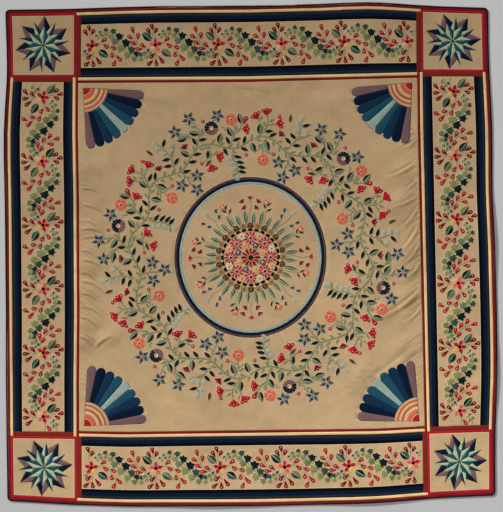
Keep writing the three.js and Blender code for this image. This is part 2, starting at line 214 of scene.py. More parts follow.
def dye(name, hex_colour, description):
    """A colour that the user can change."""
    return FloatVectorProperty(
        name=name, description=description, default=linear(hex_colour), subtype="COLOR", min=0, max=1
    )


class TableclothDyes(PropertyGroup):
    """The colours of the wools and threads."""

    beige: dye("Beige", "#CBAB80", "Broadcloth of the field, flowered strips and star squares")
    cream: dye("Cream", "#F2CD8E", "Narrow cream strips")
    madder: dye("Madder", "#7E1E22", "Narrow dark red strips")
    scarlet: dye("Scarlet", "#B41F2A", "Frames of the star squares")
    russet: dye("Russet", "#7F2A1E", "Bars at the ends of the flowered strips")
    navy: dye("Navy", "#0A1C33", "Wide bands beside the flowered strips")
    # Black also paints the thin line of seam shadow on each band beside its cream strip
    black: dye("Black", "#0B090B", "Shaded side of the bands, and small dark inlays")
    slate: dye("Slate", "#282C36", "Light side of the bands")
    plum: dye("Plum", "#5E403C", "Outer ring")
    mauve: dye("Mauve", "#7C5C5C", "Brown halves of the stars and outer blades of the fans")
    sky: dye("Sky", "#9DAFA2", "Inner ring, bells and pale blades")
    indigo: dye("Indigo", "#17324B", "Dark blue inlays")
    petrol: dye("Petrol", "#215062", "Mid blue inlays")
    teal: dye("Teal", "#447A8A", "Light halves of the blue flowers")
    celadon: dye("Celadon", "#B5BE93", "Pale green inlays of the stars")
    crimson: dye("Crimson", "#B41D28", "Red buds and flowers")
    garnet: dye("Garnet", "#7D1219", "Dark red buds")
    rose: dye("Rose", "#C23A55", "Pink petals")
    coral: dye("Coral", "#E2684B", "Orange-red petals")
    saffron: dye("Saffron", "#EDB04F", "Yellow petals")
    peach: dye("Peach", "#EDAF7E", "Light bands of the corner fans")
    bottle: dye("Bottle green", "#12241F", "Dark halves of the leaves")
    sage: dye("Sage", "#6E8566", "Light halves of the leaves")
    olive: dye("Olive", "#8C8C55", "Light ivy leaves")
    moss: dye("Moss", "#707B50", "Middle ivy leaves")
    pine: dye("Pine", "#3A4B3C", "Dark grey-green ivy leaves")
    spruce: dye("Spruce", "#2F5A4B", "Green leaves")
    stem: dye("Stem thread", "#8C9879", "Chain-stitched stems")
    ecru: dye("Ecru thread", "#EFDFBF", "Cord laid round the inlays and along the seams")
    umber: dye("Umber", "#5F4029", "Dark brown inlays of the middle, and brown leaves")
    tan: dye("Tan", "#A87A4A", "Light brown inlays of the middle")
    braid: dye("Braid", "#150E11", "Dark braid round the edge")


class TableclothSizes(PropertyGroup):
    """Sizes of the cloth's visible detail."""

    thickness: FloatProperty(
        name="Cloth thickness", description="Thickness of the broadcloth", default=1.8 * MM, unit="LENGTH"
    )
    cell: FloatProperty(
        name="Mesh cell", description="Size of one cell of the cloth's mesh", default=8 * MM, unit="LENGTH"
    )
    seam_roll: FloatProperty(
        name="Seam roll", description="How far the cloth dips into a seam", default=0.8 * MM, unit="LENGTH"
    )
    seam_width: FloatProperty(
        name="Seam width", description="Width of the dip beside a seam", default=1.3 * MM, unit="LENGTH"
    )
    cord: FloatProperty(
        name="Outline cord", description="Width of the cord round an inlay", default=1.9 * MM, unit="LENGTH"
    )
    stitch: FloatProperty(
        name="Chain stitch", description="Length of one link of chain stitch", default=4.6 * MM, unit="LENGTH"
    )


# The surface that the cloth takes


def spline(values, share):
    """A smooth curve through evenly spaced values, read at a share from 0 to 1."""
    spans = len(values) - 1
    at = np.clip(share, 0, 1) * spans
    i = np.minimum(at.astype(int), spans - 1)
    t = at - i
    p0, p1 = values[np.maximum(i - 1, 0)], values[i]
    p2, p3 = values[i + 1], values[np.minimum(i + 2, spans)]
    v0, v1 = (p2 - p0) / 2, (p3 - p1) / 2
    return (2 * p1 - 2 * p2 + v0 + v1) * t**3 + (3 * p2 - 3 * p1 - 2 * v0 - v1) * t**2 + v0 * t + p1


def pull_at(table, share, at, seam, half):
    """How far the cloth was pulled at a place, in metres."""
    low_edge, low_seam, high_seam, high_edge = (spline(table[:, i], share) * MM for i in range(4))
    low = low_seam + (low_edge - low_seam) * (at + seam) / (seam - half)
    middle = low_seam + (high_seam - low_seam) * (at + seam) / (2 * seam)
    high = high_seam + (high_edge - high_seam) * (at - seam) / (half - seam)
    return np.where(at < -seam, low, np.where(at > seam, high, middle))


def place(x, y):
    """Where points of the cut cloth lie."""
    return (
        x + pull_at(PULL_ACROSS, (y + HALF_LENGTH) / (2 * HALF_LENGTH), x, SEAM_X, HALF_WIDTH),
        y + pull_at(PULL_ALONG, (x + HALF_WIDTH) / (2 * HALF_WIDTH), y, SEAM_Y, HALF_LENGTH),
    )


def hump(distance):
    """1 at no distance, falling smoothly to 0 at a distance of 1."""
    return (1 - np.minimum(1, distance**2)) ** 2


def ridge(x, y, x1, y1, x2, y2, half_width, bow=0, aside=0):
    """A fold between two points: 1 on its crest, 0 from half its width away. aside moves it to its left."""
    run_x, run_y = x2 - x1, y2 - y1
    length = math.hypot(run_x, run_y)
    share = ((x - x1) * run_x + (y - y1) * run_y) / length**2
    off = ((y - y1) * run_x - (x - x1) * run_y) / length
    off = off - bow * (1 - (2 * share - 1) ** 2) - aside
    return hump(off / half_width), share


def folds(x, y):
    """The cloth's main folds, the same as those of its solids. Millimetres in and out."""
    height = np.zeros_like(x)
    for x1, y1, x2, y2, crest, half_width in FOLDS:
        across, share = ridge(x, y, x1, y1, x2, y2, half_width)
        height = np.maximum(height, crest * across * hump(2 * share - 1))
    for at_x, at_y, reach_x, reach_y, crest in SWELLS:
        height = np.maximum(height, crest * hump(np.hypot((x - at_x) / reach_x, (y - at_y) / reach_y)))
    return height


# How high creases and gathers stand, as a share of the heights in their tables
CREASE_STRENGTH, GATHER_STRENGTH = 1.4, 1.6
# A valley runs beside each crease: its depth and half width, as shares of the crease's
VALLEY_DEPTH, VALLEY_WIDTH = 0.5, 0.6
# A crease is highest this share of the way along it, and fades over these shares before and after
CREST_AT, FADE_IN, FADE_OUT = 0.25, 0.3, 0.75
# Between these distances from the seam a gather bends down to its full slant, in millimetres
BEND_START, BEND_END = 12, 30
# How the gathers of a seam differ, as waves along it: size, length in millimetres and start of each
GATHER_DRIFTS = ((7, 31, 0), (4, 13.7, 1))
GATHER_HEIGHTS = ((0.4, 23.3, 2), (0.25, 9.1, 0))
GATHER_RUNS = ((0.2, 27, 0), (0.1, 11, 2))
MEAN_HEIGHT, MEAN_RUN = 0.65, 0.6
# How sharply a gather ends inwards, and its height and reach across the seam
RUN_POWER, ACROSS_HEIGHT, ACROSS_REACH = 1.3, 0.5, 9
DEEPEST = -1
# Low waves all over the cloth: height, then length, sway and the sway's length, across and along
ROLLING = ((0.5, (61, 1.3, 83), (71, 1.1, 97)), (0.16, (29, 1.7, 37), (23, 1.4, 41)))


def waves(at, parts):
    """A sum of sine waves, each with its size, length and start."""
    return sum(size * np.sin(at / length + start) for size, length, start in parts)


def puckers(x, y):
    """Fine creases and gathers on top of the main folds. Millimetres in and out."""
    height = np.zeros_like(x)
    for x1, y1, x2, y2, bow, crest, half_width in CREASES:
        across, share = ridge(x, y, x1, y1, x2, y2, half_width, bow)
        below = ridge(x, y, x1, y1, x2, y2, VALLEY_WIDTH * half_width, bow, -half_width)[0]
        fade = hump((share - CREST_AT) / np.where(share < CREST_AT, FADE_IN, FADE_OUT))
        height = height + CREASE_STRENGTH * crest * (across - VALLEY_DEPTH * below) * fade
    for side, start, end, reach, pitch, crest, slope in GATHERS:
        depth = SEAM_X / MM - (x if side == "right" else -x)
        inward = np.maximum(depth, 0)
        # Each gather leaves the seam at a slant and bends further down as it runs out
        line = y + slope * inward * (inward + BEND_START) / (inward + BEND_END)
        phase = (line + waves(line, GATHER_DRIFTS)) / pitch
        strength = MEAN_HEIGHT + waves(line, GATHER_HEIGHTS)
        run = reach * (MEAN_RUN + waves(line, GATHER_RUNS))
        inwards = np.exp(-((inward / run) ** RUN_POWER))
        outwards = ACROSS_HEIGHT * np.exp(depth / ACROSS_REACH)
        middle, half = (start + end) / 2, abs(end - start) / 2
        fade = hump((y - middle) / half) ** 0.5 * np.where(depth > 0, inwards, outwards)
        height = height + GATHER_STRENGTH * crest * strength * fade * np.abs(np.sin(np.pi * phase))
    height = np.maximum(height, DEEPEST)
    for crest, (wide, sway, sway_length), (long, lean, lean_length) in ROLLING:
        across = np.sin(x / wide + sway * np.sin(y / sway_length))
        up = np.sin(y / long + lean * np.sin(x / lean_length))
        height = height + crest * (1 + across * up)
    return height


# How sharply a crease's valley bends, in millimetres over two steps of the grid, where its painted shade is
# darkest
FULL_HOLLOW = 0.75


class Surface:
    """The height of the cloth's top, worked out once on a fine grid and read anywhere.

    hollow is 1 in the sharpest valleys and 0 on the flat and on crests. It sets how far painted shade darkens
    the creases."""

    STEP = 2.5 * MM
    # How many steps the grid goes past the cloth
    MARGIN = 4

    def __init__(self, box, thickness):
        self.low = np.array(box[0][:2]) - self.MARGIN * self.STEP
        counts = np.ceil((np.array(box[1][:2]) - self.low) / self.STEP).astype(int) + self.MARGIN
        xs, ys = (self.low[i] + self.STEP * np.arange(counts[i]) for i in range(2))
        grid_x, grid_y = np.meshgrid(xs / MM, ys / MM, indexing="ij")
        under = folds(grid_x, grid_y) * MM
        fine = puckers(grid_x, grid_y)
        hollow = np.zeros_like(fine)
        for axis in (0, 1):
            hollow += np.roll(fine, 1, axis) + np.roll(fine, -1, axis) - 2 * fine
        self.grids = {
            "under": under,
            "top": under + fine * MM + thickness,
            "hollow": np.clip(hollow / FULL_HOLLOW, 0, 1),
        }

    def read(self, side, x, y):
        """The height of the cloth's top or underside, or how hollow its top is, at some points."""
        grid = self.grids[side]
        at_x, at_y = (x - self.low[0]) / self.STEP, (y - self.low[1]) / self.STEP
        i = np.clip(at_x.astype(int), 0, grid.shape[0] - 2)
        j = np.clip(at_y.astype(int), 0, grid.shape[1] - 2)
        u, v = at_x - i, at_y - j
        near = grid[i, j] * (1 - v) + grid[i, j + 1] * v
        far = grid[i + 1, j] * (1 - v) + grid[i + 1, j + 1] * v
        return near * (1 - u) + far * u


SURFACES = {}


def surface():
    """The cloth's surface, worked out once for each thickness."""
    thickness = bpy.context.scene.tablecloth_sizes.thickness
    if thickness not in SURFACES:
        SURFACES[thickness] = Surface(CAD_BOX, thickness)
    return SURFACES[thickness]


# The pull is small and smooth, so a few rounds undo it
UNPULL_ROUNDS = 5


def before_pull(x, y):
    """Where points of the lying cloth were on the cut cloth."""
    cut_x, cut_y = x, y
    for _ in range(UNPULL_ROUNDS):
        moved_x, moved_y = place(cut_x, cut_y)
        cut_x, cut_y = cut_x + x - moved_x, cut_y + y - moved_y
    return cut_x, cut_y


# Finishes


def add_node(tree, kind, settings=None, sockets=None):
    """Adds a node, sets its properties, and gives its sockets a value or another node's output each."""
    node = tree.nodes.new(kind)
    for name, value in (settings or {}).items():
        setattr(node, name, value)
    for socket, value in (sockets or {}).items():
        if isinstance(value, bpy.types.NodeSocket):
            tree.links.new(value, node.inputs[socket])
        else:
            node.inputs[socket].default_value = value
    return node


def new_material(name, colour):
    """A material with an empty node tree."""
    material = bpy.data.materials.new(name)
    material.use_nodes = True
    material.diffuse_color = (*colour, 1)
    material.node_tree.nodes.clear()
    return material, material.node_tree


def times(colour, factor):
    """A colour made lighter or darker, with its alpha."""
    return tuple(min(1, c * factor) for c in colour[:3]) + (1,)


# Sizes of the patterns. The thread is drawn about twice as coarse as the real 1.1 mm, to show
NAP_SIZE, CLOUD_SIZE, STAIN_SIZE = 3.2 * MM, 45 * MM, 240 * MM
WEAVE_PITCH, CORD_PITCH = 2.4 * MM, 1.6 * MM
# The wave texture's own scale: it repeats every 2 pi / 20 of a unit
WAVE_PERIOD = math.pi / 10
NOISES = (
    {"Scale": 1 / NAP_SIZE, "Detail": 4.0, "Roughness": 0.62},
    {"Scale": 1 / CLOUD_SIZE, "Detail": 3.0},
    {"Scale": 1 / STAIN_SIZE, "Detail": 2.0},
)
WEAVE = {"Scale": WAVE_PERIOD / WEAVE_PITCH, "Distortion": 1.6, "Detail": 2.0}
PLIES = {"Scale": WAVE_PERIOD / CORD_PITCH, "Distortion": 2.0, "Detail": 1.0}
PLY_TURN = math.radians(38)
# Painted shade in the gaps between a thread's plies and painted highlight along each ply, as shares of its
# colour
PLY_GAP_SHADE, PLY_HIGHLIGHT = 0.74, 1.08
# Shares of the cloth's tone that come from cloudy dye, stains and weave, and of its relief from the weave
CLOUD_SHARE, STAIN_SHARE, WEAVE_SHARE, WEAVE_RELIEF = 0.34, 0.3, 0.14, 0.35
SHADE_RANGE = {"From Min": 0.34, "From Max": 0.62, "To Min": 0.76, "To Max": 1.2}
# Painted shade in the creases: the colour is kept on the flat and darkened to this share in the sharpest
# valleys
CREASE_SHADE_RANGE = {"To Min": 1.0, "To Max": 0.6}
# The cloth and thread are drawn lighter this way across the cloth, and darker the other way, towards its top
# edge
LIGHTER_TOWARDS = (0.15, -1, 0)
TONE_GRADIENT_RANGE = {"From Min": -HALF_LENGTH, "From Max": HALF_LENGTH, "To Min": 0.76, "To Max": 1.27}
FUZZ_TINT = 1.3
NAP_BUMP = {"Strength": 0.5, "Distance": 0.5 * MM}
PLY_BUMP = {"Strength": 0.5, "Distance": 0.4 * MM}
WOOL = {"Roughness": 0.95, "Sheen Weight": 0.1, "Sheen Roughness": 0.5, "Specular IOR Level": 0.06}
THREAD = {"Roughness": 0.75, "Specular IOR Level": 0.12}
PAPER = {"Roughness": 0.95, "Specular IOR Level": 0.1}
# The mix node's sockets: its share, its pairs of numbers and of colours, and its output for a colour
MIX_SHARE, NUMBER_A, NUMBER_B, COLOUR_A, COLOUR_B, MIXED_COLOUR = 0, 2, 3, 6, 7, 2


def darker_towards_top(tree, where):
    """How bright the colour is drawn at a place: a little darker towards the cloth's top edge."""
    pair = {0: where, 1: LIGHTER_TOWARDS}
    towards = add_node(tree, "ShaderNodeVectorMath", {"operation": "DOT_PRODUCT"}, pair).outputs["Value"]
    return add_node(tree, "ShaderNodeMapRange", sockets={"Value": towards, **TONE_GRADIENT_RANGE}).outputs[0]


def wool_surface(tree, base, tint):
    """Broadcloth's nap and thread on a colour or output: a fine fuzz, faint rows of thread and cloudy dye.

    Painted shade darkens the bottoms of the creases. tint is the colour of the fuzz."""
    where = add_node(tree, "ShaderNodeTexCoord").outputs["Object"]
    nap, cloud, stain = (
        add_node(tree, "ShaderNodeTexNoise", sockets={"Vector": where, **noise}).outputs["Fac"]
        for noise in NOISES
    )
    threads = {"Vector": where, **WEAVE}
    rows, columns = (
        add_node(tree, "ShaderNodeTexWave", {"bands_direction": axis}, threads).outputs["Fac"]
        for axis in ("X", "Y")
    )
    weave = add_node(tree, "ShaderNodeMath", {"operation": "MULTIPLY"}, {0: rows, 1: columns}).outputs[0]
    mixed = nap
    for share, pattern in ((CLOUD_SHARE, cloud), (STAIN_SHARE, stain), (WEAVE_SHARE, weave)):
        mix = {MIX_SHARE: share, NUMBER_A: mixed, NUMBER_B: pattern}
        mixed = add_node(tree, "ShaderNodeMix", {"data_type": "FLOAT"}, mix).outputs[0]
    strength = add_node(tree, "ShaderNodeMapRange", sockets={"Value": mixed, **SHADE_RANGE}).outputs[0]
    # Painted shade in the creases, as deep as their valleys are hollow
    hollow = add_node(tree, "ShaderNodeAttribute", {"attribute_name": "hollow"}).outputs["Fac"]
    crease_shade = add_node(tree, "ShaderNodeMapRange", sockets={"Value": hollow, **CREASE_SHADE_RANGE}).outputs[0]
    for share in (crease_shade, darker_towards_top(tree, where)):
        factors = {0: strength, 1: share}
        strength = add_node(tree, "ShaderNodeMath", {"operation": "MULTIPLY"}, factors).outputs[0]
    colour = base[:3] if isinstance(base, tuple) else base
    tone = add_node(tree, "ShaderNodeVectorMath", {"operation": "SCALE"}, {0: colour, "Scale": strength})
    mix = {MIX_SHARE: WEAVE_RELIEF, NUMBER_A: nap, NUMBER_B: weave}
    relief = add_node(tree, "ShaderNodeMix", {"data_type": "FLOAT"}, mix).outputs[0]
    bump = add_node(tree, "ShaderNodeBump", sockets={"Height": relief, **NAP_BUMP})
    look = {"Base Color": tone.outputs[0], "Normal": bump.outputs["Normal"], "Sheen Tint": tint, **WOOL}
    cloth = add_node(tree, "ShaderNodeBsdfPrincipled", sockets=look)
    add_node(tree, "ShaderNodeOutputMaterial", sockets={"Surface": cloth.outputs["BSDF"]})


def broadcloth(name, colour):
    """Fulled wool broadcloth, woven and then milled until its nap hides the weave.

    The eye sees a soft matte surface, with a little fuzz that catches light at grazing angles."""
    material, tree = new_material(name, colour)
    wool_surface(tree, times(colour, 1), times(colour, FUZZ_TINT))
    return material


BAND_DEPTH = 33 * MM
# Where the wool of a band changes, as a share of its width from the cream strip, and how wide the change is.
# The first black, beside the cream strip, is painted seam shadow.
BAND_WOOLS_AND_SEAM_SHADE = ((0, "black"), (0.06, "slate"), (0.3, "navy"), (0.68, "black"))
BAND_CHANGE = 0.02


def striped_band():
    """Three narrow strips of broadcloth seamed into one band: slate, navy and black.

    The eye sees crisp changes of dark colour that follow the pull of the strip, and a thin line of painted
    shadow along the seam beside the cream strip."""
    name = "wool_broadcloth_striped_band"
    if name in bpy.data.materials:
        return bpy.data.materials[name]
    dyes = bpy.context.scene.tablecloth_dyes
    material, tree = new_material(name, dyes.navy)
    depth = add_node(tree, "ShaderNodeAttribute", {"attribute_name": "depth"}).outputs["Fac"]
    share = add_node(tree, "ShaderNodeMath", {"operation": "DIVIDE"}, {0: depth, 1: BAND_DEPTH}).outputs[0]
    ramp = add_node(tree, "ShaderNodeValToRGB", sockets={"Fac": share})
    stops = ramp.color_ramp.elements
    stops.remove(stops[1])
    # The first stop is black painted seam shadow
    stops[0].position, stops[0].color = 0, times(getattr(dyes, BAND_WOOLS_AND_SEAM_SHADE[0][1]), 1)
    for (_, before), (at, after) in zip(BAND_WOOLS_AND_SEAM_SHADE, BAND_WOOLS_AND_SEAM_SHADE[1:]):
        stops.new(at - BAND_CHANGE).color = times(getattr(dyes, before), 1)
        stops.new(at + BAND_CHANGE).color = times(getattr(dyes, after), 1)
    wool_surface(tree, ramp.outputs["Color"], times(dyes.navy, FUZZ_TINT))
    return material


def thread(name, colour):
    """Twisted wool thread, couched down or worked in chain stitch.

    The eye sees fine slanting plies with painted shade in the gaps between them, and a soft shine along each
    ply that is partly painted highlight and partly the thread's own gloss."""
    material, tree = new_material(name, colour)
    where = add_node(tree, "ShaderNodeTexCoord").outputs["Object"]
    turned = add_node(tree, "ShaderNodeMapping", sockets={"Vector": where, "Rotation": (0, 0, PLY_TURN)})
    pattern = {"Vector": turned.outputs["Vector"], **PLIES}
    plies = add_node(tree, "ShaderNodeTexWave", sockets=pattern).outputs["Fac"]
    # Painted shade between the plies and painted highlight along them
    mix = {MIX_SHARE: plies, COLOUR_A: times(colour, PLY_GAP_SHADE), COLOUR_B: times(colour, PLY_HIGHLIGHT)}
    twist = add_node(tree, "ShaderNodeMix", {"data_type": "RGBA"}, mix).outputs[MIXED_COLOUR]
    strength = darker_towards_top(tree, where)
    tone = add_node(tree, "ShaderNodeVectorMath", {"operation": "SCALE"}, {0: twist, "Scale": strength})
    bump = add_node(tree, "ShaderNodeBump", sockets={"Height": plies, **PLY_BUMP})
    look = {"Base Color": tone.outputs[0], "Normal": bump.outputs["Normal"], **THREAD}
    cord = add_node(tree, "ShaderNodeBsdfPrincipled", sockets=look)
    add_node(tree, "ShaderNodeOutputMaterial", sockets={"Surface": cord.outputs["BSDF"]})
    return material


def matte_paper(name, colour):
    """Seamless studio paper: an even matte floor."""
    material, tree = new_material(name, colour)
    paper = add_node(tree, "ShaderNodeBsdfPrincipled", sockets={"Base Color": (*colour, 1), **PAPER})
    add_node(tree, "ShaderNodeOutputMaterial", sockets={"Surface": paper.outputs["BSDF"]})
    return material


THREADS = ("stem", "ecru", "braid")


def finish_of(dye_name):
    """The material of one colour: thread for the thread colours, else broadcloth."""
    kind, make = ("twisted_wool_thread_", thread) if dye_name in THREADS else ("wool_broadcloth_", broadcloth)
    name = kind + dye_name
    if name not in bpy.data.materials:
        make(name, tuple(getattr(bpy.context.scene.tablecloth_dyes, dye_name)))
    return bpy.data.materials[name]


# Cloth sheets

# Points closer than this are one point
WELD = 0.02 * MM
# Faces of a packed sheet that look up more than this are its top
LOOKS_UP = 0.5
SAME_PLANE = 0.01
# Where the centre panel's gathers run, from the middle out, and how far apart its lines are there and
# elsewhere, in millimetres
GATHERS_FROM, GATHERS_TO, FINE_STEP, PLAIN_STEP = 440, 620, 4, 20
# Lines that go on past the cloth's edge
SPARE_LINES = 4


def even_lines(cell):
    """Lines this far apart, right across the cloth."""
    count = math.ceil(HALF_LENGTH / cell) + SPARE_LINES
    return [cell * k for k in range(-count, count + 1)]


def panel_lines():
    """Lines across the centre panel: close together where the gathers run out from its side seams."""
    left = range(-GATHERS_TO, -GATHERS_FROM, FINE_STEP)
    middle = range(-GATHERS_FROM, GATHERS_FROM, PLAIN_STEP)
    right = range(GATHERS_FROM, GATHERS_TO + 1, FINE_STEP)
    return [x * MM for x in (*left, *middle, *right)]


def grid_cut(bm, lines_across, lines_up):
    """Cuts a flat mesh along lines both ways, the more numerous ones first."""
    for axis, lines in sorted(enumerate((lines_across, lines_up)), key=lambda item: -len(item[1])):
        values = [v.co[axis] for v in bm.verts]
        low, high = min(values), max(values)
        for line in lines:
            if not low < line < high:
                continue
            point, normal = Vector((0, 0, 0)), Vector((0, 0, 0))
            point[axis], normal[axis] = line, 1
            geom = bm.verts[:] + bm.edges[:] + bm.faces[:]
            bmesh.ops.bisect_plane(bm, geom=geom, dist=WELD, plane_co=point, plane_no=normal)


def top_of(node_name):
    """The outline of a packed sheet as a flat mesh at zero height."""
    bm = bmesh.new()
    bm.from_mesh(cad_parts[node_name].data)
    bmesh.ops.remove_doubles(bm, verts=bm.verts[:], dist=WELD)
    bm.normal_update()
    bmesh.ops.delete(bm, geom=[f for f in bm.faces if f.normal.z < LOOKS_UP], context="FACES")
    for vert in bm.verts:
        vert.co.z = 0
    bm.normal_update()
    return bm


def coordinates(mesh):
    """A mesh's points as rows of x, y and z."""
    co = np.empty(len(mesh.vertices) * 3)
    mesh.vertices.foreach_get("co", co)
    return co.reshape(-1, 3)


def add_object(name, mesh, finishes):
    """Adds a smooth piece that lies still on the cloth."""
    for finish in finishes:
        mesh.materials.append(finish)
    for polygon in mesh.polygons:
        polygon.use_smooth = True
    piece = bpy.data.objects.new(name, mesh)
    bpy.context.scene.collection.objects.link(piece)
    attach(piece, "root")
    return piece


def is_upright(side):
    return side in ("left", "right")


def band_depth(kind, side):
    """A function of the cut cloth that gives the distance from the cream strip across one band."""
    axis, half = (0, HALF_WIDTH) if is_upright(side) else (1, HALF_LENGTH)

    def depth(cut):
        from_edge = half - np.abs(cut[axis])
        return from_edge - OUTER_BAND if kind == "outer_band" else INNER_CREAM - from_edge

    return depth


def lay_sheet(node_name, finish, measure=None, rolled=True, lines=None):
    """Replaces a packed sheet with a finely divided one that has the cloth's creases and dips into its seams.

    measure gives each point's depth across a striped band.
    lines are where the mesh is cut, across and along."""
    sizes = bpy.context.scene.tablecloth_sizes
    bm = top_of(node_name)
    if rolled:
        everything = {"verts": bm.verts[:], "edges": bm.edges[:]}
        bmesh.ops.dissolve_limit(bm, angle_limit=SAME_PLANE, delimit=set(), **everything)
        even = {"use_boundary": True, "use_even_offset": True}
        bmesh.ops.inset_region(bm, faces=bm.faces[:], thickness=sizes.seam_width, depth=0, **even)
    grid_cut(bm, *(lines or [even_lines(sizes.cell)] * 2))
    edge = {v for e in bm.edges if e.is_boundary for v in e.verts}
    result = bmesh.ops.extrude_face_region(bm, geom=bm.faces[:], use_keep_orig=True)
    under = {v for v in result["geom"] if isinstance(v, bmesh.types.BMVert)}
    verts = bm.verts[:]
    x, y = (np.array([v.co[i] for v in verts]) for i in (0, 1))
    tops, unders = surface().read("top", x, y), surface().read("under", x, y)
    extra = 0 if rolled else BRAID_THICKNESS - sizes.thickness
    for vert, top, low in zip(verts, tops, unders):
        if vert in under:
            vert.co.z = low
        else:
            vert.co.z = top + extra - (sizes.seam_roll if rolled and vert in edge else 0)
    bmesh.ops.recalc_face_normals(bm, faces=bm.faces[:])
    mesh = bpy.data.meshes.new(node_name + "_cloth")
    bm.to_mesh(mesh)
    bm.free()
    co = coordinates(mesh)
    attributes = {"hollow": surface().read("hollow", co[:, 0], co[:, 1])}
    if measure:
        attributes["depth"] = measure(before_pull(co[:, 0], co[:, 1]))
    for name, values in attributes.items():
        mesh.attributes.new(name, "FLOAT", "POINT").data.foreach_set("value", values)
    piece = add_object(node_name + "_cloth", mesh, [finish])
    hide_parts(node_name)
    return piece


# Inlays


LAYER_RISE = 0.8 * MM
INLAY_SINK = 0.4 * MM
# How an inlay's edge rises, from the outside in: width and rise. With a cord, width is a share of the cord's.
CORD_STEPS = ((0.45, 1.25 * MM), (0.35, 0.15 * MM), (0.2, -0.35 * MM))
BARE_STEPS = ((0.35 * MM, 0.95 * MM),)
# The slope of a crown: its width as a share of the cord's, and the least width of cord that it counts
CROWN_SLOPE, LEAST_CORD = 0.7, 1 * MM
SOFT_CROWN, BLADE_CROWN, LEAF_CROWN = 0.5 * MM, 0.4 * MM, 0.35 * MM
LOW_CROWN, PETAL_CROWN, FLAT_CROWN = 0.3 * MM, 0.25 * MM, 0.2 * MM


class Inlays:
    """Collects flat outlines on the cut cloth and raises them off it as one piece.

    Each outline gets a cord along its edge and a soft crown, and is closed underneath."""

    def __init__(self, inside=None):
        self.shapes = {}
        self.inside = inside

    def add(self, outline, wool, cord="ecru", rim=None, crown=SOFT_CROWN, level=0):
        """Adds an outline in metres, either way round, unless it leaves the strip. Says whether it was added.

        level is how many layers of wool it lies on."""
        if self.inside and not self.inside(outline):
            return False
        sizes = bpy.context.scene.tablecloth_sizes
        rim = sizes.cord if rim is None else rim
        self.shapes.setdefault((round(rim / MM, 2), crown), []).append((outline, wool, cord, level))
        return True

    def add_bare(self, outline, wool, crown=0):
        """Adds an outline with no cord round it."""
        self.add(outline, wool, cord=wool, rim=0, crown=crown)

    def make(self, name, cut=False):
        """Makes one piece of all the outlines. cut divides it finely, to follow the cloth."""
        bm = bmesh.new()
        wools = []
        for (rim_mm, crown), shapes in sorted(self.shapes.items(), key=lambda item: item[0]):
            rim = rim_mm * MM
            faces, colours = [], []
            for outline, wool, cord, level in shapes:
                if area_of(outline) < 0:
                    outline = outline[::-1]
                base = level * LAYER_RISE - INLAY_SINK
                face = bm.faces.new([bm.verts.new((px, py, base)) for px, py in outline])
                for colour in (wool, cord):
                    if colour not in wools:
                        wools.append(colour)
                face.material_index = wools.index(cord)
                faces.append(face)
                colours.append(wools.index(wool))
            edges = list({e for f in faces for e in f.edges})
            bm.normal_update()
            steps = [(rim * share, rise) for share, rise in CORD_STEPS] if rim else BARE_STEPS
            for width, rise in steps:
                bmesh.ops.inset_individual(bm, faces=faces, thickness=width, depth=rise, use_even_offset=True)
            for face, colour in zip(faces, colours):
                face.material_index = colour
            if crown:
                slope = max(rim, LEAST_CORD) * CROWN_SLOPE
                bmesh.ops.inset_individual(
                    bm, faces=faces, thickness=slope, depth=crown, use_even_offset=True
                )
            bmesh.ops.holes_fill(bm, edges=[e for e in edges if e.is_valid and e.is_boundary], sides=0)
        if cut:
            lines = even_lines(bpy.context.scene.tablecloth_sizes.cell)
            grid_cut(bm, lines, lines)
        bmesh.ops.recalc_face_normals(bm, faces=bm.faces[:])
        mesh = bpy.data.meshes.new(name)
        bm.to_mesh(mesh)
        bm.free()
        co = coordinates(mesh)
        x, y = place(co[:, 0], co[:, 1])
        co = np.column_stack((x, y, co[:, 2] + surface().read("top", x, y)))
        mesh.vertices.foreach_set("co", co.ravel())
        return add_object(name, mesh, [finish_of(wool) for wool in wools])


def area_of(outline):
    """The area inside an outline, less than 0 where it runs clockwise."""
    return sum(a[0] * b[1] - b[0] * a[1] for a, b in zip(outline, outline[1:] + outline[:1])) / 2


class Stamp:
    """Moves outlines drawn in millimetres round a point of their own to their place on the cut cloth."""

    def __init__(self, x=0, y=0, turn=0, scale=1, flip=False):
        self.x, self.y, self.turn, self.scale, self.flip = x, y, turn, scale, flip

    def point(self, px, py):
        """A point of the drawing, in metres on the cut cloth."""
        py = -py if self.flip else py
        cos, sin = math.cos(self.turn), math.sin(self.turn)
        px, py = px * self.scale * MM, py * self.scale * MM
        return (self.x + px * cos - py * sin, self.y + px * sin + py * cos)

    def outline(self, points):
        return [self.point(*p) for p in points]

    def on(self, px, py, turn=0, scale=1, flip=False):
        """A stamp placed on this one. turn is in degrees."""
        x, y = self.point(px, py)
        turn = math.radians(-turn if self.flip else turn)
        return Stamp(x, y, self.turn + turn, self.scale * scale, self.flip != flip)


def polar(reach, degrees):
    """A point at a distance from the origin and a turn from x."""
    return (reach * math.cos(math.radians(degrees)), reach * math.sin(math.radians(degrees)))


def arc(x, y, reach, start, end, steps):
    """Even points on a circle from one turn to another, in degrees."""
    return [
        (x + px, y + py)
        for px, py in (polar(reach, start + (end - start) * k / steps) for k in range(steps + 1))
    ]


def disc(reach, steps=10):
    """A round outline."""
    return arc(0, 0, reach, 0, 360 * (steps - 1) / steps, steps - 1)


# A bud: its width, half the width of its tail, the turn where its round ends, and the width of its outline
BUD_WIDTH, BUD_TAIL, BUD_ROUND, BUD_RIM = 14.5, 2, 100, 1.5 * MM
# The cream stitch in a bud: distance from its round end, reach, and height in layers of wool
BUD_STITCH_BACK, BUD_STITCH, BUD_STITCH_LEVEL = 7.4, 1.9, 1.4
# How far back along a leaf its fullest part lies
LEAF_FULL = 0.85
THIN_RIM = 0.6 * MM


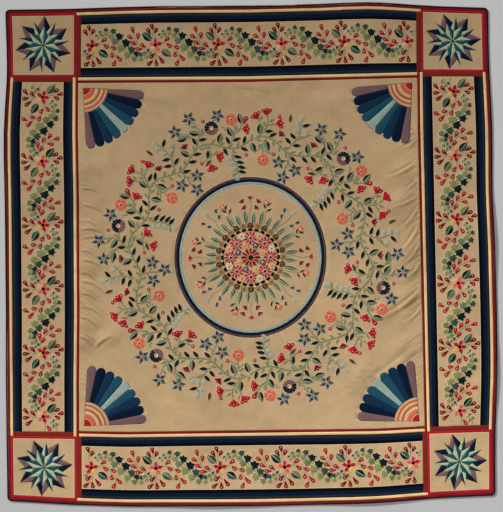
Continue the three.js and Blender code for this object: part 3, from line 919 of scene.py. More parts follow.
def teardrop(length):
    """A bud with its tail at the origin and its round end at the far end of x."""
    reach = BUD_WIDTH / 2
    return [(0, BUD_TAIL), (0, -BUD_TAIL), *arc(length - reach, 0, reach, -BUD_ROUND, BUD_ROUND, 7)]


def leaf_half(length, width, side, steps=6):
    """Half a pointed leaf, from its stalk at the origin along x to its tip."""
    shares = [k / steps for k in range(1, steps)]
    edge = [(length * t, side * width / 2 * math.sin(math.pi * t**LEAF_FULL)) for t in shares]
    return [(0, 0), *edge, (length, 0)]


def leaf(inlays, stamp, length, width, dark="bottle", light="sage", rim=THIN_RIM):
    """A leaf in two tones that meet along its midrib."""
    for side, wool in ((1, dark), (-1, light)):
        inlays.add(stamp.outline(leaf_half(length, width, side)), wool, rim=rim, crown=LOW_CROWN)


# Half an ivy leaf, as shares of its width, and how much of that its length is drawn at
IVY_LEAF = ((0, 0), (-0.05, 0.3), (0.1, 0.58), (0.34, 0.42), (0.64, 0.54), (0.72, 0.25), (1.06, 0))
IVY_LENGTH, IVY_RIM = 0.95, 1.1 * MM


def ivy_leaf(inlays, stamp, width, wool):
    """A lobed leaf of one wool."""
    half = [(px * width * IVY_LENGTH, py * width) for px, py in IVY_LEAF]
    outline = [*half, *((px, -py) for px, py in reversed(half[1:-1]))]
    inlays.add(stamp.outline(outline), wool, rim=IVY_RIM, crown=LOW_CROWN)


# Points that a curve is measured at, from one given point to the next
CURVE_STEPS = 12


def along(points, step):
    """Middles and headings of even steps along a smooth curve through the points, in metres and degrees."""
    array = np.array(points, dtype=float)
    share = np.linspace(0, 1, CURVE_STEPS * (len(points) - 1) + 1)
    xs, ys = spline(array[:, 0], share), spline(array[:, 1], share)
    lengths = np.concatenate(([0], np.cumsum(np.hypot(np.diff(xs), np.diff(ys)))))

    def at(distance):
        return float(np.interp(distance, lengths, xs)), float(np.interp(distance, lengths, ys))

    count = max(1, int(lengths[-1] // step))
    places = []
    for k in range(count):
        middle = (k + 0.5) * lengths[-1] / count
        places.append((*at(middle), heading_of(at(middle - step / 2), at(middle + step / 2))))
    return places


def heading_of(start, end):
    """The turn of a line from x, in degrees."""
    return math.degrees(math.atan2(end[1] - start[1], end[0] - start[0]))


# A link of chain stitch, as shares of its length and width. Each starts a little before the last one ends.
LINK = ((-0.5, 0), (-0.2, -0.5), (0.3, -0.5), (0.55, 0), (0.3, 0.5), (-0.2, 0.5))
LINK_PITCH = 0.92


def chain_stitch(inlays, path, wool="stem", width=2.6, length=None):
    """Links of chain stitch along a path on the cut cloth. Width and length of a link in millimetres."""
    length = length or bpy.context.scene.tablecloth_sizes.stitch / MM
    wools = wool if isinstance(wool, tuple) else (wool,)
    for k, (x, y, heading) in enumerate(along(path, length * LINK_PITCH * MM)):
        link = Stamp(x, y, math.radians(heading)).outline([(a * length, b * width) for a, b in LINK])
        inlays.add_bare(link, wools[k % len(wools)])


# The short stitches beside a stem: distance apart, lean, distance out, length and width
BARB_PITCH, BARB_LEAN, BARB_OUT, BARB_LENGTH, BARB_WIDTH = 6.5, 42, 4.6, 7.5, 2.2


def feather_stitch(inlays, path, width):
    """A stem in two shades of thread, with short slanting stitches on both sides of it."""
    chain_stitch(inlays, path, ("stem", "stem", "sage"), width)
    for k, (x, y, heading) in enumerate(along(path, BARB_PITCH * MM)):
        barb = Stamp(x, y, math.radians(heading + BARB_LEAN * (-1) ** k)).on(BARB_OUT, 0)
        inlays.add_bare(barb.outline([(a * BARB_LENGTH, b * BARB_WIDTH) for a, b in LINK]), "stem")


# Motifs, drawn in millimetres round their own stalk or middle


def dot(inlays, stamp, reach, wool, steps=8, cord=None, rim=0.0, level=1):
    """A small round spot. rim is its cord's width in millimetres."""
    inlays.add(stamp.outline(disc(reach, steps)), wool, cord=cord or wool, rim=rim * MM, crown=0, level=level)


def bud(inlays, stamp, length=25, wool="crimson"):
    """A teardrop-shaped bud with a dark outline and a cream stitch near its round end."""
    if inlays.add(stamp.outline(teardrop(length)), wool, cord="garnet", rim=BUD_RIM):
        dot(inlays, stamp.on(length - BUD_STITCH_BACK, 0), BUD_STITCH, "ecru", level=BUD_STITCH_LEVEL)


# Petals from their foot to their tip: share of the length, and of the half turn that a petal has
ROUND_PETAL = ((0, 0.8), (0.45, 0.95), (0.8, 0.78), (1, 0.34))
WEDGE = ((0, 1), (0.55, 0.99), (0.86, 0.96), (1, 0.6))
POINTED_PETAL = ((0, 0.9), (0.3, 0.98), (0.62, 0.72), (1, 0.08))
# The ring round a flower's middle: its width, and the heights of ring and middle in layers of wool
RING_WIDTH, RING_LEVEL, MIDDLE_LEVEL = 1.6, 0.7, 1.2


def petal(inner, outer, half_turn, turn, shape=ROUND_PETAL):
    """One petal of a flower, from near its middle to its tip."""
    run = outer - inner
    near = [polar(inner + share * run, turn - half_turn * width) for share, width in shape]
    far = [polar(inner + share * run, turn + half_turn * width) for share, width in reversed(shape)]
    return [*near, *far]


def flat_flower(inlays, stamp, outer, wools, centre="black", eye="ecru", inner=3.5, rim=0.7, first=90,
                shape=ROUND_PETAL, level=0):
    """A flower of flat petals that meet at a round middle with a ring round it."""
    half = 180 / len(wools)
    turns = [first + 2 * half * k for k in range(len(wools))]
    petals = [stamp.outline(petal(inner, outer, half, turn, shape)) for turn in turns]
    if inlays.inside and not all(inlays.inside(outline) for outline in petals):
        return
    for outline, wool in zip(petals, wools):
        inlays.add(outline, wool, rim=rim * MM, crown=PETAL_CROWN, level=level)
    dot(inlays, stamp, inner + RING_WIDTH, eye, 10, level=level + RING_LEVEL)
    dot(inlays, stamp, inner, centre, level=level + MIDDLE_LEVEL)


# A lobed flower as drawn: its size, the turns of its lobes, their distance from the stalk, the reach and half
# turn of their rounds, how much more than their turn they face outwards, and a corner of the throat
LOBED = {
    "size": 24,
    "turns": (-33, 0, 33),
    "out": 17.5,
    "reach": 5.2,
    "round": 72,
    "facing": 1.6,
    "throat": (6, 6.5),
}
LOBED_RIM = 0.9 * MM
# The stitch in each lobe: its distance out as a share of the lobe's, and its reach
LOBE_STITCH_OUT, LOBE_STITCH = 0.93, 1.5


def lobed_flower(inlays, stamp, size, wool="crimson"):
    """A three-lobed flower with a cream stitch in each lobe."""
    middles = [polar(LOBED["out"], turn) for turn in LOBED["turns"]]
    throat_out, throat_half = LOBED["throat"]
    outline = [(0, 0), (throat_out, -throat_half)]
    for (px, py), turn in zip(middles, LOBED["turns"]):
        facing = LOBED["facing"] * turn
        outline += arc(px, py, LOBED["reach"], facing - LOBED["round"], facing + LOBED["round"], 4)
    outline.append((throat_out, throat_half))
    small = stamp.on(0, 0, 0, size / LOBED["size"])
    inlays.add(small.outline(outline), wool, rim=LOBED_RIM)
    for px, py in middles:
        dot(inlays, small.on(LOBE_STITCH_OUT * px, LOBE_STITCH_OUT * py), LOBE_STITCH, "ecru", 6)


# A star flower: its reach, where its points start, and the distance out and turn of a point's shoulders
STAR_FLOWER, STAR_FOOT, SHOULDER_OUT, SHOULDER_TURN = 23, 2, 0.52, 31


def star_flower(inlays, stamp):
    """A five-pointed flower whose petals are dark on one side and light on the other."""
    for turn in range(90, 450, 72):
        foot, tip = polar(STAR_FOOT, turn), polar(STAR_FLOWER, turn)
        left, right = (polar(SHOULDER_OUT * STAR_FLOWER, turn + side * SHOULDER_TURN) for side in (1, -1))
        inlays.add_bare(stamp.outline([foot, tip, left]), "navy")
        inlays.add_bare(stamp.outline([foot, right, tip]), "teal")
    dot(inlays, stamp, 4, "coral", cord="ecru", rim=0.7)


BELL = (
    (0, 0), (4, -3.4), (9, -3.6), (14, -6.4), (12.6, -2), (15.5, 0), (12.6, 2), (14, 6.4), (9, 3.6), (4, 3.4),
)  # fmt: skip
BELL_SCALE = 1.3


def bell(inlays, stamp, wool="sky"):
    """A small hanging bell."""
    inlays.add(stamp.on(0, 0, 0, BELL_SCALE).outline(BELL), wool, rim=THIN_RIM, crown=LOW_CROWN)


BERRY, BERRY_MIDDLE, BERRY_RIM = 6.5, 0.4, 0.8 * MM


def berry(inlays, stamp):
    """A round berry with a pale middle."""
    if inlays.add(stamp.outline(disc(BERRY, 12)), "crimson", rim=BERRY_RIM):
        dot(inlays, stamp, BERRY_MIDDLE * BERRY, "peach", 6)


# A wheel flower: its reach, where its petals start, how many it has and how many of them are navy
WHEEL, WHEEL_FOOT, WHEEL_PETALS, WHEEL_NAVY = 21, 6.5, 12, 7


def wheel_flower(inlays, stamp):
    """A dark round flower with one side mauve, and a pale middle."""
    half = 180 / WHEEL_PETALS
    for k in range(WHEEL_PETALS):
        outline = stamp.outline(petal(WHEEL_FOOT, WHEEL, half, 2 * half * k, WEDGE))
        inlays.add_bare(outline, "navy" if k < WHEEL_NAVY else "mauve", FLAT_CROWN)
    dot(inlays, stamp, 6.4, "peach", 12, cord="ecru", rim=1.1)
    dot(inlays, stamp, 2.2, "saffron", 6)


def single_leaf(inlays, stamp, length=29, width=11, wool="bottle"):
    """A leaf of one wool."""
    left, right = leaf_half(length, width, 1), leaf_half(length, width, -1)
    inlays.add(stamp.outline([*left, *reversed(right[1:-1])]), wool, rim=THIN_RIM, crown=LEAF_CROWN)


# The flowered border, in millimetres along the strip from each flower and across it: each bud's head and tail

BORDER_BUDS = (
    (-25, 52, -16.6, 36.7), (-12, 67, -8.3, 52), (3.5, 53, -2.4, 40.2), (-80, 57, -76, 41),
    (-91, 30, -78, 22.5), (-60, 35.5, -61.5, 20), (-78, 8, -64, 1), (-46, 1, -33, -8),
    (-61.5, -13, -44, -13), (44, 22, 32, 13), (51, -4, 40, 3.5), (78, -9.5, 66, -3.5),
    (70, -35, 68.6, -22.5), (98, -48.5, 85, -34), (76, -65, 83, -51), (-14, -40, -1, -28),
    (-22, -65, -8, -53), (4.5, -66, 2.4, -49), (26, -57, 13, -39),
)  # fmt: skip
BORDER_STEMS = (
    ((-4, 14), (-8, 28), (-9, 50)),
    ((-12, -10), (-33, -13), (-52, -3), (-64, 12), (-75, 38)),
    ((-64, 10), (-76, 20)),
    ((14, 4), (38, 7), (57, 0), (72, -18), (84, -37), (84, -48)),
    ((4, -14), (2, -32), (-5, -52)),
    ((2, -34), (10, -40)),
)
BORDER_LEAVES = (((-12, 14), (-48, 46)), ((20, -15), (59, -40)))
BORDER_GARLAND = (
    (16, 31, 11), (28, 41, 14), (45.5, 47.5, 17), (66.5, 43, 21), (84, 26, 26), (106, 3, 29),
    (127.5, -21, 26), (148.5, -36.5, 21), (167, -40, 18), (184.5, -34, 16), (198, -24, 13),
)  # fmt: skip
# The buds above and below the flower, this near it along the strip, are darker
DARK_BUDS_WITHIN = 30
FLOWER_WOOLS = (
    ("crimson", "crimson", "scarlet", "saffron", "crimson"),
    ("rose", "coral", "peach", "coral", "crimson"),
)
GARLAND_DARK = "pine moss pine pine bottle bottle pine bottle pine moss pine".split()
GARLAND_LIGHT = "olive moss olive olive moss olive olive moss olive olive moss".split()
# The garland's leaves: lean from its stem, distance out, and width as a share of the chart's
LEAF_LEAN, LEAF_OUT, LEAF_FULLNESS = 66, 1.2, 1.12
# From the middle of a bud's head to its end, and the size of the flower and width of the two-toned leaves
BUD_HEAD, BORDER_FLOWER, BORDER_LEAF = 7.5, 26, 27
STEM_STITCH, GARLAND_STITCH = 2.8, 2
# Turn in degrees, first flower and pitch along the strip in millimetres
BORDER_SIDES = {
    "top": (0, -546, 221),
    "bottom": (0, -553, 221),
    "left": (-90, -562.5, 225),
    "right": (-90, -562.5, 225),
}
BORDER_REPEATS = range(-1, 6)
BORDER_HALF_ACROSS = 75
# Between the motifs or stitches of a strip and the bars at its ends
END_GAP = 2 * MM


def border_spray(inlays, stamp, flip_tones):
    """One repeat of the border: a flower, its leaves, sprays of buds, and a double garland of ivy leaves."""
    for path in BORDER_STEMS:
        chain_stitch(inlays, [stamp.point(*p) for p in path], width=STEM_STITCH)
    for k, (start, end) in enumerate(BORDER_LEAVES):
        tones = ("moss", "pine") if k == flip_tones else ("bottle", "spruce")
        leaf(inlays, stamp.on(*start, heading_of(start, end)), math.dist(start, end), BORDER_LEAF, *tones)
    for head_x, head_y, *tail in BORDER_BUDS:
        head = (head_x, head_y)
        wool = "garnet" if abs(head_x) < DARK_BUDS_WITHIN else "crimson"
        bud(inlays, stamp.on(*tail, heading_of(tail, head)), math.dist(tail, head) + BUD_HEAD, wool)
    wools = FLOWER_WOOLS[flip_tones]
    flat_flower(inlays, stamp, BORDER_FLOWER, wools, inner=5, eye="garnet", shape=POINTED_PETAL)
    middle = [(x, y) for x, y, _ in BORDER_GARLAND]
    chain_stitch(inlays, [stamp.point(*p) for p in middle], "spruce", GARLAND_STITCH)
    for k, (x, y, width) in enumerate(BORDER_GARLAND):
        turn = heading_of(middle[max(k - 1, 0)], middle[min(k + 1, len(middle) - 1)])
        side_x, side_y = polar(LEAF_OUT, turn + 90)
        for side, wools in ((1, GARLAND_DARK), (-1, GARLAND_LIGHT)):
            at = stamp.on(x + side * side_x, y + side * side_y, turn + side * LEAF_LEAN)
            ivy_leaf(inlays, at, width * LEAF_FULLNESS, wools[k])


def strip_middle(side):
    """The middle of a side's flowered strip, in metres on the cut cloth."""
    across = (FLOWERS + INNER_BAND) / 2
    x, y = {"top": (0, 1), "bottom": (0, -1), "left": (-1, 0), "right": (1, 0)}[side]
    return x * (HALF_WIDTH - across), y * (HALF_LENGTH - across)


def strip_ends(side):
    """Where a side's flowered strip starts and ends, just inside its red-brown bars, in metres."""
    if is_upright(side):
        reach = HALF_LENGTH - INNER_CREAM - END_BAR - END_GAP
        return -reach, reach
    sign = 1 if side == "top" else -1
    corners = [(sign_x, reach) for sign_x, sign_y, reach in CORNERS.values() if sign_y == sign]
    return sorted(sign_x * (reach - END_BAR - END_GAP) for sign_x, reach in corners)


def border_flowers(side):
    """The flowers, buds and garland of one side's strip."""
    turn, first, pitch = BORDER_SIDES[side]
    start, end = strip_ends(side)
    middle = strip_middle(side)
    at, across = (1, 0) if is_upright(side) else (0, 1)

    def inside(outline):
        low, high = middle[across] - BORDER_HALF_ACROSS * MM, middle[across] + BORDER_HALF_ACROSS * MM
        return all(start <= point[at] <= end and low <= point[across] <= high for point in outline)

    inlays = Inlays(inside)
    strip = Stamp(*middle, math.radians(turn))
    for k in BORDER_REPEATS:
        border_spray(inlays, strip.on(first + pitch * k, 0), k % 2)
    return inlays.make(f"border_flowers_{side}")


# The wreath. Along its middle circle and outwards from it, in millimetres, over a sixth of the way round

WREATH_REACH = 408
WREATH_REPEATS = 6
WREATH_SWAY = 20
WREATH_MOTIF_SCALE = 1.17
WREATH_SPRIGS = (
    ((30, 17), (50, 40), (58, 72), (52, 96)),
    ((56, 58), (70, 66), (84, 68)),
    ((53, 44), (38, 62), (28, 80)),
    ((60, 18), (50, -10), (56, -44)),
    ((52, -12), (34, -28), (20, -34)),
    ((54, -26), (74, -34), (88, -34)),
    ((150, -18), (158, -44), (154, -86)),
    ((156, -40), (136, -54), (124, -58)),
    ((156, -52), (176, -60), (194, -64)),
    ((136, -12), (152, 20), (160, 52), (152, 98)),
    ((156, 34), (178, 52), (190, 70)),
    ((246, 18), (266, 44), (276, 74), (268, 108)),
    ((270, 52), (296, 62), (318, 82), (338, 100)),
    ((262, 42), (244, 60), (238, 80)),
    ((244, 60), (228, 82), (214, 100)),
    ((270, 20), (284, -12), (270, -52)),
    ((280, -16), (300, -30)),
    ((280, -24), (258, -34), (244, -36)),
    ((372, -20), (362, -48), (374, -84), (368, -112)),
    ((356, -14), (374, 16), (384, 44), (378, 70)),
    ((382, 32), (400, 48), (412, 66)),
    ((380, 28), (360, 44), (346, 62)),
)
WREATH_MOTIFS = {
    "star": (
        (122, -60, 10), (198, -66, 40), (160, -106, 0), (262, 124, 20), (212, 104, 50), (340, 104, 30),
    ),
    "wheel": ((314, 66, 0),),
    "poppy": ((56, -62, 0), (376, 82, 40)),
    "lobed": (
        (52, 92, 98), (80, 68, 20), (30, 78, 128), (238, 76, 110), (270, -50, -96), (298, -28, -35),
        (404, 44, 0), (108, -30, -90),
    ),
    "dark_lobed": ((100, 28, 60), (214, 30, 90), (226, -28, -80), (334, 30, 80)),
    "two_tone": (
        (62, 44, 0), (274, 60, 150), (108, 6, 62), (122, -8, -50), (214, 4, 120), (322, 6, 60),
        (338, -8, -50), (8, -2, -70),
    ),
    "bell": (
        (152, 98, 95), (156, 84, 160), (160, 60, 170), (190, 70, 60), (178, 52, -10), (184, 60, 120),
        (368, -112, -95), (362, -50, -160), (370, -70, -170), (374, -88, -160),
    ),
    "bud": ((412, 64, 60), (346, 62, 110)),
    "berry": (
        (88, 98, 0), (14, -36, 0), (94, -36, 0), (296, 98, 0), (238, -37, 0), (112, 60, 0), (212, -58, 0),
        (326, -64, 0), (200, 44, 0), (416, -46, 0),
    ),
    "brown": (
        (74, 70, 80), (156, -76, -30), (277, -38, -150), (190, -20, -60), (416, -26, -100), (122, 84, 100),
    ),
    "leaf": (
        (57, 84, 20), (55, 76, 165), (44, 34, 155), (50, -14, -160), (53, -26, -10), (30, -30, -100),
        (76, -34, -60), (152, -34, -160), (157, -60, -150), (160, 66, 20), (158, 84, 35), (146, 14, 150),
        (156, 36, 155), (276, 76, 40), (274, 92, 150), (262, 40, -10), (284, 60, 50), (282, -8, 10),
        (258, -34, -110), (364, -46, -20), (370, -66, -20), (374, -84, -20), (372, -100, -20),
        (384, 50, 30), (382, 54, 160), (400, 46, -20), (358, 46, -160), (226, 10, -70), (4, 6, 120),
        (112, 52, -100), (326, -56, 100), (212, -50, 100), (206, 28, 40), (330, 34, 140), (324, -24, -110),
        (14, 34, 80), (120, -26, -40), (228, 88, 60), (316, 104, 60), (424, 84, 100),
    ),
}  # fmt: skip


def round_the_ring(along_ring, outwards, turn=0):
    """A stamp for a place on the wreath. turn is from the way round, in degrees."""
    angle = along_ring / WREATH_REACH
    reach = (WREATH_REACH + outwards) * MM
    x, y = RING["x"] + reach * math.sin(angle), RING["y"] + reach * math.cos(angle)
    return Stamp(x, y, math.radians(turn) - angle)


CORAL_PETALS = ("coral",) * 5
# How each kind of motif is made, and the room that it needs as circles: how far along it from its stalk,
# and reach
WREATH_KINDS = {
    "star": (star_flower, {}, ((0, 20),)),
    "wheel": (wheel_flower, {}, ((0, 21),)),
    "poppy": (
        flat_flower,
        {"outer": 18.5, "wools": CORAL_PETALS, "centre": "umber", "inner": 3.4, "rim": 0.5, "shape": WEDGE},
        ((0, 18),),
    ),
    "lobed": (lobed_flower, {"size": 29}, ((8, 7), (20, 14))),
    "dark_lobed": (lobed_flower, {"size": 22, "wool": "garnet"}, ((6, 5), (15, 10))),
    "two_tone": (leaf, {"length": 36, "width": 19, "rim": 0.45 * MM}, ((12, 8), (26, 8), (38, 3))),
    "bell": (bell, {}, ((6, 5), (16, 6))),
    "bud": (bud, {}, ((8, 4), (19, 6))),
    "berry": (berry, {}, ((0, 8),)),
    "brown": (single_leaf, {"wool": "umber"}, ((8, 5), (20, 5))),
    "leaf": (single_leaf, {"width": 12}, ((8, 5), (18, 6), (28, 3))),
    "small_leaf": (single_leaf, {"length": 21, "width": 9, "wool": "olive"}, ((8, 4), (16, 4))),
}
# The stem's own room, and the leaves along it and its sprigs: distance apart, lean and distance out
STEM_PLACES, STEM_ROOM = 90, 3
SPRIG_LEAVES = ("two_tone", "leaf", "small_leaf")
SPRIG_PITCH, SPRIG_LEAN, SPRIG_OUT = 15, 46, 3
# The stem is drawn through this many points a repeat. Widths of its stitches and of its sprigs'
STEM_POINTS, MAIN_STITCH, SPRIG_STITCH = 24, 5.4, 3.8


def stem_sway(u, length):
    """How far out the stem is from the middle circle: it goes out and in twice in each repeat."""
    return WREATH_SWAY * math.sin(4 * math.pi * u / length)


def wreath_layout(length):
    """The motifs of one repeat but those that would overlap earlier ones: kind, along, outwards, turn."""
    stem = [(u, stem_sway(u, length), STEM_ROOM) for u in np.linspace(0, length, STEM_PLACES)]
    taken, kept = list(stem), []

    def fits(kind, u, v, turn):
        circles = []
        for reach, room in WREATH_KINDS[kind][-1]:
            px, py = polar(reach * WREATH_MOTIF_SCALE, turn)
            circles.append((u + px, v + py, room * WREATH_MOTIF_SCALE))
        for at, out, room in circles:
            for other_at, other_out, other_room in taken:
                apart = (at - other_at + length / 2) % length - length / 2
                # Places outside the middle circle are further apart than along it
                if math.hypot(apart * (1 + out / WREATH_REACH), out - other_out) < room + other_room:
                    return False
        taken.extend(circles)
        kept.append((kind, u, v, turn))
        return True

    for kind, places in WREATH_MOTIFS.items():
        for u, v, turn in places:
            fits(kind, u, v, turn)
    for path in (*WREATH_SPRIGS, [(u, v) for u, v, _ in stem]):
        for k, (u, v, heading) in enumerate(along(path, SPRIG_PITCH)):
            lean = heading + SPRIG_LEAN * (-1) ** k
            px, py = polar(SPRIG_OUT, lean)
            # The first kind of leaf that fits is taken, and every other place has no two-toned one
            any(fits(kind, u + px, v + py, lean) for kind in SPRIG_LEAVES[k % 2 :])
    return kept


def wreath():
    """The wreath's stems with all that grows on them, the same in each repeat."""
    inlays = Inlays()
    length = 2 * math.pi * WREATH_REACH / WREATH_REPEATS
    layout = wreath_layout(length)
    stem = [(u, stem_sway(u, length)) for u in (length * k / STEM_POINTS for k in range(STEM_POINTS + 1))]
    for repeat in range(WREATH_REPEATS):
        start = repeat * length
        for path in (stem, *WREATH_SPRIGS):
            places = [round_the_ring(start + u, v) for u, v in path]
            width = MAIN_STITCH if path is stem else SPRIG_STITCH
            feather_stitch(inlays, [(place.x, place.y) for place in places], width)
        for kind, u, v, turn in layout:
            make, settings, _ = WREATH_KINDS[kind]
            make(inlays, round_the_ring(start + u, v, turn).on(0, 0, 0, WREATH_MOTIF_SCALE), **settings)
    return inlays.make("wreath_inlays")


# The posy in the middle: rings of flowers on a scalloped mat, with lance leaves and sprigs round it.
# In millimetres from its middle, and in degrees

POSY_REPEATS = 8
LANCE_LEAVES, LANCE_FIRST, LANCE_OUT, LANCE_LEAN, LANCE_LENGTHS, LANCE_WIDTH = 32, 5.6, 112, 4, (64, 52), 15
# Stems, as distance and turn from their own line, and what grows on them: distance, turn and lean
LONG_STEM = ((122, 0), (150, 1.5), (180, -1), (206, 0.5))
LONG_SPRIG = ((204, 0, 0), (172, 5.5, 48), (172, -5.5, -48), (194, 7.5, 36), (194, -7.5, -36))
SHORT_STEM = ((122, 0), (150, 2), (186, 5))
SHORT_SPRIG = ((170, 3.2, -40), (178, 4.4, 46), (188, 5.4, -38))
# The mat's tabs: how many, inner and outer reach, how far their ends bulge, and their share of the turn
TABS, TAB_INNER, TAB_OUTER, TAB_ROUND, TAB_SHARE, TAB_RIM = 28, 104, 116, 9, 0.96, 0.7 * MM
# Points on a tab's round end in degrees, and how many degrees reach across half a tab
TAB_END, TAB_HALF = range(-60, 61, 30), 93
# The spot in a tab: distance from the middle, and reach
TAB_SPOT_OUT, TAB_SPOT = 114, 2.6
# A dark check inside each tab: distance, and share of the tab's half width
CHECK = ((93, -0.9), (103, -0.5), (103, 0.5), (93, 0.9))
LARGE_OUT, LARGE_FLOWER, LARGE_MIDDLE = 69, 25, 5
# The two rings of small flowers: distance, size, eye, and the wool and centre of every other one
SMALL_FLOWERS = (
    (80, 13.5, "saffron", (("ecru", "crimson"), ("peach", "crimson"))),
    (46, 12, "ecru", (("saffron", "crimson"), ("indigo", "coral"))),
)
SMALL_MIDDLE, SMALL_RIM, CORAL_RIM = 2.6, 0.4, 0.5
CORAL_OUT, CORAL_TURN, CORAL_FLOWER = 200, 6, 13
GREAT_FLOWER, GREAT_MIDDLE = 34, 9


def posy_sprigs(inlays, middle):
    """The lance leaves and the two kinds of sprigs round the mat."""
    for k in range(LANCE_LEAVES):
        turn = 360 * k / LANCE_LEAVES + LANCE_FIRST
        at = middle.on(*polar(LANCE_OUT, turn), turn + LANCE_LEAN)
        leaf(inlays, at, LANCE_LENGTHS[k % 2], LANCE_WIDTH, "spruce")
    for k in range(POSY_REPEATS):
        turn = 360 / POSY_REPEATS * k
        stem = [middle.point(*polar(reach, turn + off)) for reach, off in LONG_STEM]
        chain_stitch(inlays, stem, width=STEM_STITCH)
        for reach, side, lean in LONG_SPRIG:
            at = middle.on(*polar(reach, turn + side), turn + lean)
            if k % 2:
                bell(inlays, at, "petrol" if side else "sky")
            else:
                lobed_flower(inlays, at.on(-3, 0), 19, "garnet" if side else "crimson")
        turn += 180 / POSY_REPEATS
        chain_stitch(inlays, [middle.point(*polar(reach, turn + off)) for reach, off in SHORT_STEM])
        at = middle.on(*polar(CORAL_OUT, turn + CORAL_TURN))
        flat_flower(inlays, at, CORAL_FLOWER, CORAL_PETALS, "saffron", inner=SMALL_MIDDLE, rim=CORAL_RIM)
        for reach, side, lean in SHORT_SPRIG:
            single_leaf(inlays, middle.on(*polar(reach, turn + side), turn + lean), 24, 8)


def posy():
    """Rings of flowers on a scalloped mat, with sprigs round it."""
    inlays = Inlays()
    middle = Stamp(RING["x"], RING["y"])
    posy_sprigs(inlays, middle)
    half = 180 / TABS
    low, high = (((TAB_INNER, side), (TAB_OUTER, side)) for side in (-TAB_SHARE, TAB_SHARE))
    for k in range(TABS):
        turn = 360 * k / TABS
        wool, spot = ("umber", "tan") if k % 2 else ("tan", "umber")
        tab = [polar(reach, turn + half * side) for reach, side in low]
        for step in TAB_END:
            bulge = TAB_ROUND * math.cos(math.radians(step))
            tab.append(polar(TAB_OUTER + bulge, turn + half * step / TAB_HALF))
        tab += [polar(reach, turn + half * side) for reach, side in reversed(high)]
        inlays.add(middle.outline(tab), wool, rim=TAB_RIM, crown=LOW_CROWN)
        dot(inlays, middle.on(*polar(TAB_SPOT_OUT, turn)), TAB_SPOT, spot)
        inlays.add_bare(middle.outline([polar(reach, turn + half * side) for reach, side in CHECK]), "black")
    for k in range(POSY_REPEATS):
        turn = 360 / POSY_REPEATS * k
        at = middle.on(*polar(LARGE_OUT, turn))
        flat_flower(inlays, at, LARGE_FLOWER, ("rose", "crimson") * 5, inner=LARGE_MIDDLE, first=turn)
        for out, size, eye, kinds in SMALL_FLOWERS:
            wool, centre = kinds[k % 2]
            at = middle.on(*polar(out, turn + 180 / POSY_REPEATS))
            flat_flower(inlays, at, size, (wool,) * 6, centre, eye, SMALL_MIDDLE, SMALL_RIM, turn, level=1)
    wools = ("crimson", "garnet") * 6
    flat_flower(inlays, middle, GREAT_FLOWER, wools, "bottle", "coral", GREAT_MIDDLE, level=1.5)
    return inlays.make("posy_inlays")


# Stars and fans

STAR = {"points": 7, "tip": 105, "short_tip": 94, "valley": 68, "valley_turn": 19.03, "kite": 70, "side": 49,
        "side_turn": 11.4, "hub": 37, "eye": 4}  # fmt: skip


def square_in(corner):
    """The middle of a corner square and half its size inside the frame, across and along, in metres."""
    sign_x, sign_y, reach = CORNERS[corner]
    outer_x, outer_y, inner_y = HALF_WIDTH - OUTER_CREAM, HALF_LENGTH - OUTER_CREAM, HALF_LENGTH - INNER_CREAM
    middle = sign_x * (outer_x + reach) / 2, sign_y * (outer_y + inner_y) / 2
    return middle, ((outer_x - reach) / 2 - FRAME_BAR, (outer_y - inner_y) / 2 - FRAME_BAR)


def star_facets(corner):
    """The two-tone facets of one compass star."""
    inlays = Inlays()
    stamp = Stamp(*square_in(corner)[0], math.radians(STAR_TURNS[corner]))
    step = 180 / STAR["points"]
    for k in range(STAR["points"]):
        turn = 2 * step * k
        tip, kite = polar(STAR["tip"], turn), polar(STAR["kite"], turn)
        for sign, kite_wool, long_wool, short_wool in (
            (1, "celadon", "mauve", "indigo"),
            (-1, "petrol", "navy", "celadon"),
        ):
            side = polar(STAR["side"], turn + sign * STAR["side_turn"])
            valley = polar(STAR["valley"], turn + sign * STAR["valley_turn"])
            near_hub = polar(STAR["hub"], turn + sign * step)
            facets = (
                ([(0, 0), kite, near_hub], kite_wool),
                ([kite, tip, valley, side], long_wool),
                ([near_hub, side, valley, polar(STAR["short_tip"], turn + sign * step)], short_wool),
            )
            for facet, wool in facets:
                inlays.add_bare(stamp.outline(facet), wool)
    dot(inlays, stamp, STAR["eye"], "russet", 10)
    return inlays.make(f"star_facets_{corner}", cut=True)


# Across a fan: its blades, and how far they and the stitches stay inside its scalloped edge
BLADE_WOOLS = ("mauve", "navy", "indigo", "petrol", "sky", "petrol", "indigo", "navy", "mauve")
BLADE_INSET, STITCH_INSET = 2.6 * MM, 0.6 * MM
# A blade's tip starts at this share of its turn and takes this share, and beside its foot is a narrow gap
TIP_FROM, TIP_SHARE, TIP_STEPS = 0.03, 0.94, 10
FOOT_GAP = math.degrees(0.2 / 88)
FOOT_OUT = 1 * MM
# Bands of a fan's heel: inner and outer reach, wool
HEEL_BANDS = (
    (5, 23.5, "crimson"), (24.5, 27.5, "cream"), (28.5, 40, "coral"), (41, 54, "peach"),
    (55, 60, "tan"), (61, 71, "peach"), (72, 76, "coral"), (77, 83.5, "peach"),
)  # fmt: skip
BAND_STEPS = 12
# Steps of the stitches along each scallop, the width and length of a link, and where the heel's row runs
SCALLOP_STEPS, FAN_LINK, HEEL_ROW = 8, (1.8, 4), 85.2 * MM


def fan_reach(angle):
    """The scalloped edge of a fan, in metres from its corner."""
    share = (angle - FAN["first"]) / (FAN["last"] - FAN["first"]) * FAN["blades"]
    across = 2 * (share - min(max(math.floor(share), 0), FAN["blades"] - 1)) - 1
    return FAN["notch"] + FAN["scallop"] * math.sqrt(max(0, 1 - across * across))


